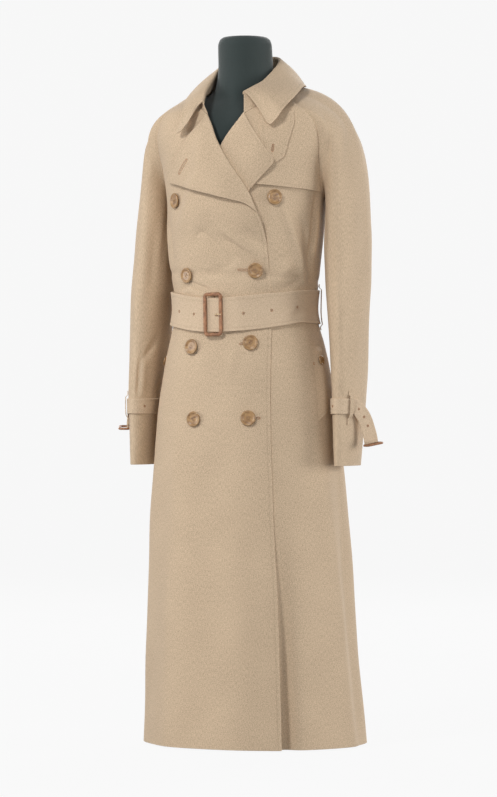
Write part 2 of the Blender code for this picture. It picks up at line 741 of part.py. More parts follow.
def neckline_points():
    """The neckline from the wearer's right round the nape to the left, point by point."""
    notches = np.array([height for height in FRONT_NOTCHES if height >= COLLAR_END_HEIGHT])
    turns = list(-edge_turn(notches + 1e-6))
    heights = list(notches)
    raglan_front = math.radians(front_raglan_table(PANEL_TOP_HEIGHT)[0])
    raglan_back = math.radians(back_raglan_table(BACK_TOP_HEIGHT)[0])
    turns += [raglan_front, math.radians(OVERARM_TURN), raglan_back]
    heights += [PANEL_TOP_HEIGHT, OVERARM_HEIGHT, BACK_TOP_HEIGHT]
    share = np.linspace(1, 0, BACK_COLUMNS)[1:]
    turns += list(math.pi + (raglan_back - math.pi) * share)
    heights += list(BACK_TOP_HEIGHT + NAPE_RISE * (1 - share**2))
    left = body_points(np.array(turns), np.array(heights))
    return np.concatenate([mirrored(left), left[-2::-1]])


def grid_normals(points, towards):
    along = np.gradient(points, axis=0)
    across = np.gradient(points, axis=1)
    normals = unit(np.cross(along, across))
    facing = np.sum(normals * towards, axis=-1, keepdims=True)
    return normals * np.where(facing < 0, -1.0, 1.0)


def add_collar():
    base = neckline_points()
    lengths = np.concatenate([[0.0], np.cumsum(np.linalg.norm(np.diff(base, axis=0), axis=1))])
    share = 2 * lengths / lengths[-1] - 1
    columns = collar_table(share)
    fold = columns[:, :3]
    edge = columns[:, 3:]
    away = unit((edge - fold) * np.array([1.0, 1.0, 0.0]))

    base = base + np.array([0.0, 0.0, 2 * LAYER_GAP]) - away * LAYER_GAP
    top = fold - np.array([0.0, 0.0, STAND_TOP_DROP])
    rise = np.array([0.0, 0.35, 0.7, 1.0])[:, None, None]
    stand = base[None] * (1 - rise) + top[None] * rise
    normals = grid_normals(stand, np.broadcast_to(away[None], stand.shape))
    add_wall("collar_stand", stand, stand - normals * WALL)

    out, up = LEAF_CROWN
    crown = (fold + edge) / 2 + away * out + np.array([0.0, 0.0, up])
    near_end = np.exp(-(((1 + share) / LEAF_END_REACH) ** 2))
    fall = np.array([0.0, 0.12, 0.3, 0.55, 0.8, 1.0])[:, None, None]
    leaf = fold[None] * (1 - fall) ** 2 + crown[None] * 2 * fall * (1 - fall) + edge[None] * fall**2
    leaf = leaf + LEAF_BOW_PEAK * fall**2 * (1 - fall) * near_end[:, None] * np.array(LEAF_END_BOW)
    facing = np.broadcast_to(away[None] * 0.5 + np.array([0.0, 0.0, 1.0]), leaf.shape)
    normals = grid_normals(leaf, facing)
    add_wall("collar_leaf", leaf, leaf - normals * WALL)


def belt_height(turn):
    return BELT_CENTRE - BELT_FRONT_DIP * np.maximum(np.cos(turn), 0.0) ** 2


BELT_STEP_GAP = 0.004


def under_belt(turn):
    """The offset of the cloth that the belt lies on, smoothed over the front's edge."""
    wrapped = (turn + math.pi) % (2 * math.pi) - math.pi
    height = belt_height(wrapped)
    across = body_points(wrapped, height)[..., 0]
    front = np.cos(wrapped) > 0
    reach = edge_table(height)[..., 0]
    left = 1 - ease(across, reach + BELT_STEP_GAP, reach + OVERLAP_FADE)
    right = ease(across, -reach - OVERLAP_FADE, -reach)
    return np.where(front, SKIRT_FRONT_TOP * left * right, 0.0)


BELT_START = -10.5
BELT_RISE_FROM = -332.0
BELT_RISE_TO = -347.0
BELT_TAIL_END = -472.0
BELT_LAYER = 0.0016


def belt_offset(turn):
    low = under_belt(turn) + BELT_LAYER
    climb = ease(-turn, -math.radians(BELT_RISE_FROM), -math.radians(BELT_RISE_TO))
    return low + climb * (BELT_THICKNESS + LAYER_GAP)


def add_belt():
    turn = np.radians(np.linspace(BELT_START, BELT_TAIL_END, 78))[:, None]
    turn, across = np.broadcast_arrays(turn, np.linspace(-0.5, 0.5, 3)[None, :])
    height = belt_height(turn) + BELT_HEIGHT * across
    low = belt_offset(turn)
    add_on_body("belt", turn, height, low, low + BELT_THICKNESS)


def rounded_frame(width, height, corner, steps):
    """The outline of a rectangle with round corners, as pairs of across and up."""
    outline = []
    for quarter in range(4):
        side = 1 if quarter in (0, 3) else -1
        level = 1 if quarter in (0, 1) else -1
        for step in range(steps + 1):
            angle = (quarter + step / steps) * math.pi / 2
            across = side * (width / 2 - corner) + corner * math.cos(angle)
            up = level * (height / 2 - corner) + corner * math.sin(angle)
            outline.append((across, up))
    return np.array(outline)


def add_frame(name, width, height, bar, depth, centre, axes, material):
    """A buckle's frame: a rounded rectangular ring with a soft section."""
    steps = 3
    middle = rounded_frame(width - bar, height - bar, bar, steps)
    count = len(middle)
    following = np.roll(middle, -1, axis=0) - np.roll(middle, 1, axis=0)
    out = unit(np.stack([following[:, 1], -following[:, 0]], axis=-1))
    section = []
    for across, level in ((1, 0.25), (0.6, 1), (-0.6, 1), (-1, 0.25), (-1, -0.8), (1, -0.8)):
        section.append((across * bar / 2, level * depth / 2))
    points = []
    for spot, way in zip(middle, out):
        for across, level in section:
            flat = spot + way * across
            points.append(centre + axes[0] * flat[0] + axes[1] * flat[1] + axes[2] * level)
    size = len(section)
    faces = []
    for index in range(count):
        after = (index + 1) % count
        for edge in range(size):
            step = (edge + 1) % size
            faces.append(
                (index * size + edge, after * size + edge, after * size + step, index * size + step)
            )
    return add_object(name, np.array(points), faces, material)


def add_bar(name, path, half_wide, half_deep, wide_axis, material):
    """A bar of rectangular section swept along a short path."""
    path = np.array(path)
    tangents = unit(np.gradient(path, axis=0))
    deep = unit(np.cross(tangents, wide_axis))
    rings = []
    for point, depth_axis in zip(path, deep):
        corners = ((1, 1), (-1, 1), (-1, -1), (1, -1))
        rings.append(
            np.array([point + wide_axis * w * half_wide + depth_axis * d * half_deep for w, d in corners])
        )
    return add_rings(name, rings, material)


def union_into(piece, other):
    modifier = piece.modifiers.new("union", "BOOLEAN")
    modifier.operation = "UNION"
    modifier.solver = "EXACT"
    modifier.object = other
    other.hide_render = True
    other.display_type = "WIRE"


BUCKLE_SEAT = 0.4
BUCKLE_BAR_WIDE = 0.0032
BUCKLE_BAR_DEEP = 0.0018
BUCKLE_BAR_CLEARANCE = 0.0018
BUCKLE_BAR_RISE = 0.0020
PRONG_START = 0.0040
PRONG_BEND = 0.0095
PRONG_SIZE = (0.0026, 0.0012)
PRONG_REACH = BUCKLE_WIDTH / 2 - 0.0010
PRONG_LEVELS = (0.0012, 0.85 * BUCKLE_DEPTH, BUCKLE_DEPTH + 0.0014)


def add_belt_buckle():
    height = belt_height(np.array(0.0))
    turn = turn_of(np.array(BUCKLE_X), height)
    axes = surface_axes(turn, height)
    seat = body_points(turn, height)
    belt_top = under_belt(turn) + BELT_LAYER + 2 * BELT_THICKNESS + LAYER_GAP
    back_face = belt_top + 2 * LAYER_GAP
    centre = seat + axes[2] * (back_face + BUCKLE_DEPTH * BUCKLE_SEAT)
    size = (BUCKLE_WIDTH, BUCKLE_HEIGHT, BUCKLE_BAR, BUCKLE_DEPTH)
    frame = add_frame("belt_buckle", *size, centre, axes, LEATHER)

    bar_level = under_belt(turn) + BELT_LAYER + BELT_THICKNESS / 2
    end_level = back_face + BUCKLE_BAR_RISE
    reach = BUCKLE_HEIGHT / 2 - BUCKLE_BAR / 2
    inside = BELT_HEIGHT / 2 + BUCKLE_BAR_CLEARANCE
    path = []
    for up, level in ((-reach, end_level), (-inside, bar_level), (inside, bar_level), (reach, end_level)):
        path.append(seat + axes[1] * up + axes[2] * level)
    half_size = (BUCKLE_BAR_WIDE / 2, BUCKLE_BAR_DEEP / 2)
    bar = add_bar("buckle_bar_shape", path, *half_size, axes[0], LEATHER)
    union_into(frame, bar)

    low, middle, high = PRONG_LEVELS
    start = seat + axes[0] * PRONG_START + axes[2] * (belt_top + low)
    bend = seat + axes[0] * PRONG_BEND + axes[2] * (back_face + middle)
    end = seat + axes[0] * PRONG_REACH + axes[2] * (back_face + high)
    half_size = (PRONG_SIZE[0] / 2, PRONG_SIZE[1] / 2)
    add_bar("belt_prong", [start, bend, end], *half_size, axes[1], BRASS)


def add_on_path(name, seat_turn, levels, offsets, width, thickness):
    """A narrow strip up the coat's body that bridges what lies under it."""
    height = np.array(levels)[:, None]
    across = np.linspace(-0.5, 0.5, 2)[None, :]
    centre = body_points(np.array(seat_turn), height[:, 0].mean())
    radius = float(np.hypot(centre[0], centre[1]))
    turn = seat_turn + across * width / radius
    turn, height, low = np.broadcast_arrays(turn, height, np.array(offsets)[:, None])
    add_on_body(name, turn, height, low, low + thickness)


BELT_LOOP_TURN = 104.5
BELT_LOOP_WIDTH = 0.012
BELT_LOOP_THICKNESS = 0.0018
BELT_LOOP_SLACK = 0.0006
LOOP_COLUMNS = ("step", "lift")
LOOP_SHAPE = (
    (-1.36, 0.00),
    (-1.20, 0.00),
    (-1.07, 1.00),
    (0.00, 1.45),
    (1.07, 1.00),
    (1.20, 0.00),
    (1.36, 0.00),
)


def add_belt_loops():
    over = BELT_LAYER + BELT_THICKNESS + 2 * LAYER_GAP
    tail_over = over + BELT_THICKNESS + LAYER_GAP
    for name, side, clear in (("belt_loop_left", 1, over), ("belt_loop_right", -1, tail_over)):
        levels = [BELT_CENTRE + BELT_HEIGHT / 2 * step for step, lift in LOOP_SHAPE]
        offsets = [LAYER_GAP + (clear + BELT_LOOP_SLACK) * lift for step, lift in LOOP_SHAPE]
        seat = side * math.radians(BELT_LOOP_TURN)
        add_on_path(name, seat, levels, offsets, BELT_LOOP_WIDTH, BELT_LOOP_THICKNESS)


def button_profile(radius):
    thick = POCKET_BUTTON_THICKNESS if radius < BUTTON_RADIUS else BUTTON_THICKNESS
    return (
        (radius * 0.72, 0.0),
        (radius * 0.94, thick * 0.35),
        (radius, thick * 0.70),
        (radius * 0.93, thick),
        (radius * 0.78, thick * 0.92),
        (radius * 0.66, thick * 0.62),
    )


def add_button(name, turn, height, radius, offset, segments=16):
    turn = np.array(turn)
    height = np.array(height)
    axes = surface_axes(turn, height)
    centre = body_points(turn, height) + axes[2] * (offset + LAYER_GAP)
    turned(name, button_profile(radius), segments, HORN, centre, axes)


def add_buttons():
    for name, column in (("left", LEFT_BUTTONS), ("right", RIGHT_BUTTONS)):
        for number, (height, degrees, lift) in enumerate(column, start=1):
            turn = math.radians(degrees)
            across = body_points(np.array(turn), np.array(height))[0]
            footprint = turn_of(across + BUTTON_RADIUS * np.linspace(-1, 1, 5), np.array(height))
            top = cloth_top(footprint, np.array(height)).max() + lift
            add_button(f"front_button_{name}_{number}", turn, height, BUTTON_RADIUS, top)


WELT_COLUMNS = ("height", "front_turn", "back_turn")
WELT_ROWS = (
    (0.598, 70.0, 79.5),
    (0.645, 71.0, 82.0),
    (0.690, 72.0, 85.0),
    (0.735, 73.0, 88.0),
)
POCKET_BUTTON = (0.7085, 80.5)
WELT_END_RISE = 0.018


def add_pockets():
    level, front_turn, back_turn = (column[:, None] for column in np.array(WELT_ROWS).T)
    share = np.linspace(0, 1, 4)[None, :]
    turn = np.radians(front_turn + (back_turn - front_turn) * share)
    up = np.linspace(0, 1, len(WELT_ROWS))[:, None]
    height = level + WELT_END_RISE * share * (1 - up)
    top = CHEST_GAP + WALL
    seat_height, seat_turn = POCKET_BUTTON
    for name, side in (("left", 1), ("right", -1)):
        add_on_body("pocket_welt_" + name, side * turn, height, CHEST_GAP, top)
        angle = side * math.radians(seat_turn)
        add_button("pocket_button_" + name, angle, seat_height, POCKET_BUTTON_RADIUS, top, 12)


# Each strap lies round the cuff from its back to its loop. Then its end hangs loose: it
# leaves along a level heading, in degrees from +X to +Y, and drops.
STRAP_TO = 38.5
STRAP_LAYER = 0.0009
STRAP_SETTLING = 0.022
STRAP_END_COLUMNS = ("along", "drop")
STRAPS = {
    "left": (
        235.0,
        50.0,
        (
            (0.008, 0.0015),
            (0.016, 0.0095),
            (0.024, 0.0195),
            (0.030, 0.0310),
            (0.034, 0.0440),
            (0.037, 0.0560),
            (0.039, 0.0670),
        ),
    ),
    "right": (
        285.0,
        69.0,
        (
            (0.006, 0.0010),
            (0.013, 0.0060),
            (0.019, 0.0150),
            (0.023, 0.0260),
            (0.025, 0.0380),
        ),
    ),
}
STRAP_BUCKLE_SIZE = (0.022, 0.035, 0.0046, 0.0042)
STRAP_BUCKLE_DROP = 0.0020
STRAP_BUCKLE_SHIFT = 0.0072
STRAP_LOOP_TURN = 46.0
STRAP_LOOP_WIDTH = 0.008
STRAP_LOOP_THICKNESS = 0.0014
STRAP_LOOP_SLACK = 0.0012
STRAP_LOOP_COLUMNS = ("level", "lift")
STRAP_LOOP_SHAPE = (
    (-0.0330, 0.0),
    (-0.0240, 0.0),
    (-0.0160, 1.0),
    (0.0000, 1.1),
    (0.0160, 1.0),
    (0.0220, 0.0),
    (0.0280, 0.0),
)


def arm_frame(angle, height):
    """Point, outward normal and tangent on the wearer's left arm."""
    step = 0.01
    share = angle / math.pi
    point = arm_ring(share, height)
    along = arm_ring(share - step, height) - arm_ring(share + step, height)
    up = arm_ring(share, height + step) - arm_ring(share, height - step)
    along = unit(along)
    out = unit(np.cross(along, up))
    facing = np.stack([np.cos(angle), -np.sin(angle), 0 * angle], axis=-1)
    out = out * np.where(np.sum(out * facing, axis=-1, keepdims=True) < 0, -1.0, 1.0)
    return point, out, along


def strap_course(start, heading, loose_end):
    """The middle of a left strap's inner face, and the way that face looks out."""
    angle = np.radians(np.linspace(start, STRAP_TO, 20))
    point, out, _ = arm_frame(angle, np.full(len(angle), STRAP_HEIGHT))
    point = point + out * STRAP_LAYER
    way = math.radians(heading)
    level = np.array([math.cos(way), math.sin(way), 0.0])
    facing = np.array([math.sin(way), -math.cos(way), 0.0])
    points = list(point)
    faces = list(out)
    for along, drop in loose_end:
        turned_share = float(ease(along, 0.0, STRAP_SETTLING))
        points.append(point[-1] + level * along - np.array([0.0, 0.0, drop]))
        faces.append(unit(out[-1] * (1 - turned_share) + facing * turned_share))
    return np.array(points), np.array(faces)


def add_strap(name, side, start, heading, loose_end):
    """A sleeve strap with the small buckle at its loose end."""
    centre, out = strap_course(start, heading, loose_end)
    tangent = unit(np.gradient(centre, axis=0))
    out = unit(out - tangent * np.sum(out * tangent, axis=-1, keepdims=True))
    wide = np.cross(out, tangent)
    across = np.linspace(-0.5, 0.5, 3)[None, :, None]
    inner = centre[:, None, :] + wide[:, None, :] * across * STRAP_WIDTH
    outer = inner + out[:, None, :] * STRAP_THICKNESS
    flip = np.array([side, 1.0, 1.0])
    add_wall("sleeve_strap_" + name, outer * flip, inner * flip)

    end = centre[-1] + tangent[-1] * STRAP_BUCKLE_DROP + out[-1] * STRAP_THICKNESS / 2
    end = end + out[-1] * STRAP_BUCKLE_SHIFT
    axes = (out[-1] * flip, wide[-1] * flip * side, tangent[-1] * flip)
    add_frame("strap_buckle_" + name, *STRAP_BUCKLE_SIZE, end * flip, axes, LEATHER)


def add_straps():
    for name, side in (("left", 1.0), ("right", -1.0)):
        add_strap(name, side, *STRAPS[name])

    levels, lifts = np.array(STRAP_LOOP_SHAPE).T
    height = STRAP_HEIGHT + levels
    offset = LAYER_GAP + lifts * (STRAP_THICKNESS + 2 * LAYER_GAP + STRAP_LOOP_SLACK)
    seat = np.full(len(levels), math.radians(STRAP_LOOP_TURN))
    point, out, along = arm_frame(seat, height)
    across = np.linspace(-0.5, 0.5, 2)[None, :, None]
    inner = (point + out * offset[:, None])[:, None, :] + along[:, None, :] * across * STRAP_LOOP_WIDTH
    outer = inner + out[:, None, :] * STRAP_LOOP_THICKNESS
    add_wall("strap_loop_left", outer, inner)
    add_wall("strap_loop_right", mirrored(outer), mirrored(inner))


def add_form_and_stand():
    turns = np.arange(26) * 2 * math.pi / 26
    heights = [row[0] for row in FORM_SECTIONS]
    extra = [0.655, 0.752, 0.965]
    rings = []
    for height in sorted(heights + extra):
        rings.append(section_points(form_table, turns, height))
    crown = rings[-1]
    middle = crown.mean(axis=0)
    rings.append(middle + (crown - middle) * 0.45 + np.array([0.0, 0.0, 0.0015]))
    add_rings("dress_form", rings, FORM_CLOTH)

    up = (np.array([1.0, 0.0, 0.0]), np.array([0.0, 1.0, 0.0]), np.array([0.0, 0.0, 1.0]))
    floor = np.zeros(3)
    pole = (
        (POLE_RADIUS, BASE_THICKNESS + SEAM_GAP),
        (POLE_RADIUS, FORM_BOTTOM - SEAM_GAP),
    )
    turned("stand_pole", pole, 16, STEEL, floor, up)
    chamfer = 0.002
    base = (
        (BASE_RADIUS, 0.0),
        (BASE_RADIUS, BASE_THICKNESS - chamfer),
        (BASE_RADIUS - chamfer, BASE_THICKNESS),
    )
    turned("stand_base", base, 40, STEEL, floor, up)


def build():
    for piece in list(bpy.data.objects):
        bpy.data.objects.remove(piece, do_unlink=True)
    add_form_and_stand()
    add_fronts()
    add_backs()
    add_sleeves()
    add_lapels()
    add_chest_pieces()
    add_collar()
    add_belt()
    add_belt_buckle()
    add_belt_loops()
    add_buttons()
    add_pockets()
    add_straps()


build()
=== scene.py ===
"""A belted trench coat on a dress form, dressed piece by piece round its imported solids."""
import math

import bmesh
import bpy
import numpy as np
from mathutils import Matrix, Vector


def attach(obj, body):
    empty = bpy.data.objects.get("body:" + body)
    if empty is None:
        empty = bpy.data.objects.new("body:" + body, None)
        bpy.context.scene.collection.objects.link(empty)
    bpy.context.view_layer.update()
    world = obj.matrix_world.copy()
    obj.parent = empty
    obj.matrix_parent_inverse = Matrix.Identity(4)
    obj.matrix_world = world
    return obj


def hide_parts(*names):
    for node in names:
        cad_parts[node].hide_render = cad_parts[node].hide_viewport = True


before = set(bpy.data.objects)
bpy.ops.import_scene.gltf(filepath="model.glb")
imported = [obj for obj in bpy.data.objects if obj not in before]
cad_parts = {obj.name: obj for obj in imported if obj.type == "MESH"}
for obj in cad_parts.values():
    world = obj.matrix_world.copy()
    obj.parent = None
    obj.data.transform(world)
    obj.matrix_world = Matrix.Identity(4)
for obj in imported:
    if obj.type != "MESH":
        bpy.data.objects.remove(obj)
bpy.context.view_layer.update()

# ---- dress form
# A padded torso without limbs, covered in dark green-black jersey that is drawn smooth
# over the neck block. It stands on a black steel pole and a round plate, both painted.

# Sections by height: half width, depth before and behind the middle, and how square
# the front half is.
FORM_SECTIONS = (
    (0.600, 0.1300, 0.100, 0.088, 2.2),
    (0.615, 0.1380, 0.108, 0.096, 2.2),
    (0.700, 0.1380, 0.116, 0.105, 2.2),
    (0.805, 0.1120, 0.112, 0.088, 2.2),
    (0.930, 0.1270, 0.130, 0.100, 2.1),
    (1.000, 0.1370, 0.137, 0.107, 2.0),
    (1.060, 0.1450, 0.133, 0.110, 2.0),
    (1.100, 0.1520, 0.125, 0.111, 2.0),
    (1.137, 0.1540, 0.112, 0.1075, 1.9),
    (1.156, 0.1500, 0.102, 0.1025, 1.75),
    (1.170, 0.1420, 0.092, 0.0962, 1.55),
    (1.183, 0.1260, 0.083, 0.0889, 1.35),
    (1.192, 0.1060, 0.077, 0.079, 1.30),
    (1.201, 0.0800, 0.075, 0.067, 1.45),
    (1.212, 0.0620, 0.074, 0.055, 1.75),
    (1.227, 0.0540, 0.073, 0.043, 2.0),
    (1.250, 0.0505, 0.072, 0.031, 2.0),
    (1.290, 0.0495, 0.0745, 0.0255, 2.0),
    (1.3005, 0.0462, 0.0712, 0.0222, 2.0),
    (1.3050, 0.0405, 0.0655, 0.0165, 2.0),
)
FORM_SIDES = 96
FORM_LEVELS = (0.600, 1.290, 110)
FORM_BRIM_LEVELS = (1.2915, 1.305, 10)
# The top of the neck block closes in rings: share of its brim, and rise above it.
FORM_TOP_RINGS = ((0.9, 0.0009), (0.7, 0.0018), (0.4, 0.0025), (0.1, 0.0028))
SHARP_DEGREES = 52


def smooth_curves(rows):
    """One monotone cubic for each column of a table, over its first column."""
    data = np.array(rows, dtype=float)
    knots = data[:, 0]
    values = data[:, 1:]
    widths = np.diff(knots)
    slopes = np.diff(values, axis=0) / widths[:, None]
    tangents = np.zeros_like(values)
    tangents[0] = slopes[0]
    tangents[-1] = slopes[-1]
    before, after = slopes[:-1], slopes[1:]
    near = (widths[:-1] + 2 * widths[1:])[:, None]
    far = (2 * widths[:-1] + widths[1:])[:, None]
    same_way = before * after > 0
    harmonic = (near + far) / (near / np.where(same_way, after, 1.0) + far / np.where(same_way, before, 1.0))
    tangents[1:-1] = np.where(same_way, harmonic, 0.0)

    def at(place):
        place = np.clip(np.asarray(place, dtype=float), knots[0], knots[-1])
        index = np.clip(np.searchsorted(knots, place, side="right") - 1, 0, len(knots) - 2)
        width = widths[index][..., None]
        share = (place - knots[index])[..., None] / width
        start = values[index] * (1 + 2 * share) * (1 - share) ** 2
        start = start + tangents[index] * width * share * (1 - share) ** 2
        end = values[index + 1] * share**2 * (3 - 2 * share)
        return start + end + tangents[index + 1] * width * share**2 * (share - 1)

    return at


def ease(value, low, high):
    """0 at low, 1 at high, smooth between."""
    share = np.clip((np.asarray(value, dtype=float) - low) / (high - low), 0.0, 1.0)
    return share * share * (3 - 2 * share)


def unit(vectors):
    """Vectors of length 1."""
    return vectors / np.linalg.norm(vectors, axis=-1, keepdims=True)


def round_turns(count):
    """Evenly spaced angles once round, in radians."""
    return np.arange(count) * 2 * math.pi / count


def section_points(table, turn, height):
    """Points at a turn (radians from the middle of the front) of a section table."""
    turn, height = np.broadcast_arrays(np.asarray(turn, float), np.asarray(height, float))
    columns = table(height)
    half_width = columns[..., 0]
    half_depth = (columns[..., 1] + columns[..., 2]) / 2
    centre = (columns[..., 2] - columns[..., 1]) / 2
    across, forward = np.sin(turn), np.cos(turn)
    power = np.where(forward > 0, columns[..., 3], 2.0)
    radius = (np.abs(across / half_width) ** power + np.abs(forward / half_depth) ** power) ** (-1 / power)
    return np.stack([radius * across, centre - radius * forward, height], axis=-1)


class Channel:
    """An output of a node. Sums and products of channels add their Math nodes."""

    def __init__(self, graph, socket):
        self.graph = graph
        self.socket = socket

    def maths(self, operation, *values):
        return self.graph.node("ShaderNodeMath", {"operation": operation}, dict(enumerate(values)))

    def __add__(self, other):
        return self.maths("ADD", self, other)

    def __sub__(self, other):
        return self.maths("SUBTRACT", self, other)

    def __rsub__(self, other):
        return self.maths("SUBTRACT", other, self)

    def __mul__(self, other):
        return self.maths("MULTIPLY", self, other)

    def __truediv__(self, other):
        return self.maths("DIVIDE", self, other)

    __radd__ = __add__
    __rmul__ = __mul__


class Graph:
    """A node tree whose nodes all come from one method."""

    def __init__(self, tree):
        self.tree = tree

    def feed(self, socket, value):
        if isinstance(value, Channel):
            self.tree.links.new(value.socket, socket)
        else:
            socket.default_value = value

    def node(self, kind, settings, sockets, output=0):
        made = self.tree.nodes.new(kind)
        for key, value in settings.items():
            setattr(made, key, value)
        for key, value in sockets.items():
            self.feed(made.inputs[key], value)
        return Channel(self, made.outputs[output])


class Finish(Graph):
    """A material whose constants are set on its shader's own sockets."""

    def __init__(self, name, constants):
        self.material = bpy.data.materials.new(name)
        self.material.use_nodes = True
        super().__init__(self.material.node_tree)
        self.shader = self.tree.nodes["Principled BSDF"]
        for socket, value in constants.items():
            self.shader.inputs[socket].default_value = value

    def place(self):
        return self.node("ShaderNodeTexCoord", {}, {}, "Object")

    def noise(self, place, scale, detail=2.0):
        return self.node("ShaderNodeTexNoise", {}, {"Vector": place, "Scale": scale, "Detail": detail})

    def spread(self, value, low, high, start=0.0, end=1.0):
        """A value from low to high, brought smoothly to start to end."""
        settings = {"interpolation_type": "SMOOTHSTEP"}
        return self.node("ShaderNodeMapRange", settings, {0: value, 1: low, 2: high, 3: start, 4: end})

    def blend(self, share, first, second):
        return self.node("ShaderNodeMix", {"data_type": "RGBA"}, {0: share, 6: first, 7: second}, 2)

    def surface(self, colour, roughness, relief):
        """Colour, roughness, and relief in metres, all of which vary over the piece."""
        self.feed(self.shader.inputs["Base Color"], colour)
        self.feed(self.shader.inputs["Roughness"], roughness)
        bump = self.node("ShaderNodeBump", {}, {"Strength": 1.0, "Distance": 1.0, "Height": relief})
        self.feed(self.shader.inputs["Normal"], bump)


def jersey_finish():
    finish = Finish("jersey", {"Sheen Weight": 0.25, "Sheen Roughness": 0.5, "Specular IOR Level": 0.25})
    place = finish.place()
    knit = finish.noise(place, 900.0)
    cloud = finish.noise(place, 9.0, 3.0)
    dark, light = (0.020, 0.030, 0.029, 1), (0.034, 0.047, 0.045, 1)
    colour = finish.blend(knit * 0.5 + cloud * 0.5, dark, light)
    finish.surface(colour, 0.78 + cloud * 0.12, knit * 0.00025)
    return finish.material


def paint_finish():
    finish = Finish("black_paint", {"Specular IOR Level": 0.5})
    place = finish.place()
    peel = finish.noise(place, 700.0)
    dust = finish.noise(place, 30.0, 4.0)
    black, dusty = (0.016, 0.016, 0.017, 1), (0.045, 0.043, 0.040, 1)
    colour = finish.blend(finish.spread(dust, 0.45, 0.75), black, dusty)
    finish.surface(colour, 0.34 + dust * 0.25, peel * 0.00003)
    return finish.material


def placed(name, mesh):
    """An object of a mesh, in the scene."""
    piece = bpy.data.objects.new(name, mesh)
    bpy.context.scene.collection.objects.link(piece)
    return piece


def make_piece(name, points, faces, material, uv=None, edge=None):
    """A mesh with its place in its points; uv and edge are in metres over the cloth."""
    mesh = bpy.data.meshes.new(name)
    mesh.from_pydata(np.asarray(points, dtype=float).tolist(), [], faces)
    mesh.materials.append(material)
    if uv is not None:
        corners = np.empty(len(mesh.loops), dtype=np.int32)
        mesh.loops.foreach_get("vertex_index", corners)
        layer = mesh.uv_layers.new(name="cloth")
        layer.data.foreach_set("uv", np.asarray(uv, dtype=np.float32)[corners].ravel())
    if edge is not None:
        layer = mesh.attributes.new("edge", "FLOAT", "POINT")
        layer.data.foreach_set("value", np.asarray(edge, np.float32))
    mesh.shade_smooth()
    mesh.set_sharp_from_angle(angle=math.radians(SHARP_DEGREES))
    return placed(name, mesh)


def fixed(piece, node=None):
    """Lets a finished piece ride with the coat, in place of its CAD node if it has one."""
    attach(piece, "root")
    if node:
        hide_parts(node)


def ring_faces(count, size, closed_ends=True):
    """Faces of a tube of count rings with size points each."""
    faces = []
    for low in range(0, (count - 1) * size, size):
        for index in range(size):
            after = (index + 1) % size
            faces.append((low + index, low + after, low + size + after, low + size + index))
    if closed_ends:
        faces.append(tuple(reversed(range(size))))
        faces.append(tuple((count - 1) * size + index for index in range(size)))
    return faces


form_table = smooth_curves(FORM_SECTIONS)
form_levels = np.concatenate([np.linspace(*FORM_LEVELS), np.linspace(*FORM_BRIM_LEVELS)])
form_rings = [section_points(form_table, round_turns(FORM_SIDES), level) for level in form_levels]
brim = form_rings[-1]
middle = brim.mean(axis=0)
for share, rise in FORM_TOP_RINGS:
    form_rings.append(middle + (brim - middle) * share + np.array([0.0, 0.0, rise]))
form_faces = ring_faces(len(form_rings), FORM_SIDES)
form = make_piece("form_torso", np.concatenate(form_rings), form_faces, jersey_finish())
fixed(form, "dress_form")

stand_paint = paint_finish()
for name in ("stand_pole", "stand_base"):
    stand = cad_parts[name]
    for painted in stand.material_slots:
        painted.material = stand_paint

# ---- back panels
# Two long panels of honey-coloured cotton gabardine, joined down the middle of the back.
# They hang from the shoulders, are drawn in under the belt and flare to the hem.

# Sections by height, with the same columns as the form's.
BODY_SECTIONS = (
    (0.0035, 0.2080, 0.152, 0.207, 2.10),
    (0.100, 0.2000, 0.150, 0.190, 2.15),
    (0.190, 0.1940, 0.148, 0.175, 2.20),
    (0.300, 0.1885, 0.145, 0.162, 2.25),
    (0.412, 0.1828, 0.141, 0.147, 2.30),
    (0.518, 0.1750, 0.138, 0.134, 2.35),
    (0.625, 0.1656, 0.137, 0.123, 2.40),
    (0.700, 0.1528, 0.137, 0.120, 2.40),
    (0.740, 0.1435, 0.135, 0.115, 2.40),
    (0.805, 0.1290, 0.133, 0.104, 2.40),
    (0.870, 0.1365, 0.137, 0.108, 2.35),
    (0.930, 0.1430, 0.144, 0.114, 2.20),
    (1.000, 0.1490, 0.148, 0.119, 2.05),
    (1.060, 0.1600, 0.146, 0.121, 2.00),
    (1.100, 0.1720, 0.139, 0.119, 2.00),
    (1.140, 0.1800, 0.127, 0.113, 2.00),
    (1.165, 0.1720, 0.117, 0.103, 2.00),
    (1.180, 0.1580, 0.096, 0.094, 2.00),
    (1.195, 0.1350, 0.068, 0.083, 2.00),
    (1.205, 0.1050, 0.048, 0.076, 2.00),
    (1.215, 0.0800, 0.030, 0.071, 2.00),
    (1.222, 0.0720, 0.022, 0.069, 2.00),
    (1.228, 0.0660, 0.012, 0.066, 2.00),
)
# Where the back meets the sleeve: height, and turn in degrees from the front's middle.
BACK_RAGLAN = (
    (1.005, 97.0),
    (1.015, 102.0),
    (1.030, 106.0),
    (1.060, 111.0),
    (1.100, 116.5),
    (1.140, 122.0),
    (1.170, 127.0),
    (1.190, 130.0),
    (1.205, 130.0),
    (1.222, 126.0),
)
HEM_HEIGHT = 0.0035
UNDERARM_HEIGHT = 1.005
BACK_TOP_HEIGHT = 1.222
NAPE_RISE = 0.006
SIDE_TURN = 90.0
UNDERARM_TURN = 97.0
SEAM_TURN = 0.0010
CLOTH = 0.0013
RIM_ROUND = 0.3
STITCH_INSET = 0.006
STITCH_LIFT = 0.0001
SEAM_SINK = 0.0005
SEAM_SINK_WIDTH = 0.0012
BACK_WIDTH = 0.33
SKIRT_START = 0.016
SKIRT_TOP = 0.700
LATERAL_STEP = 0.004
UPWARD_STEP = 0.0015

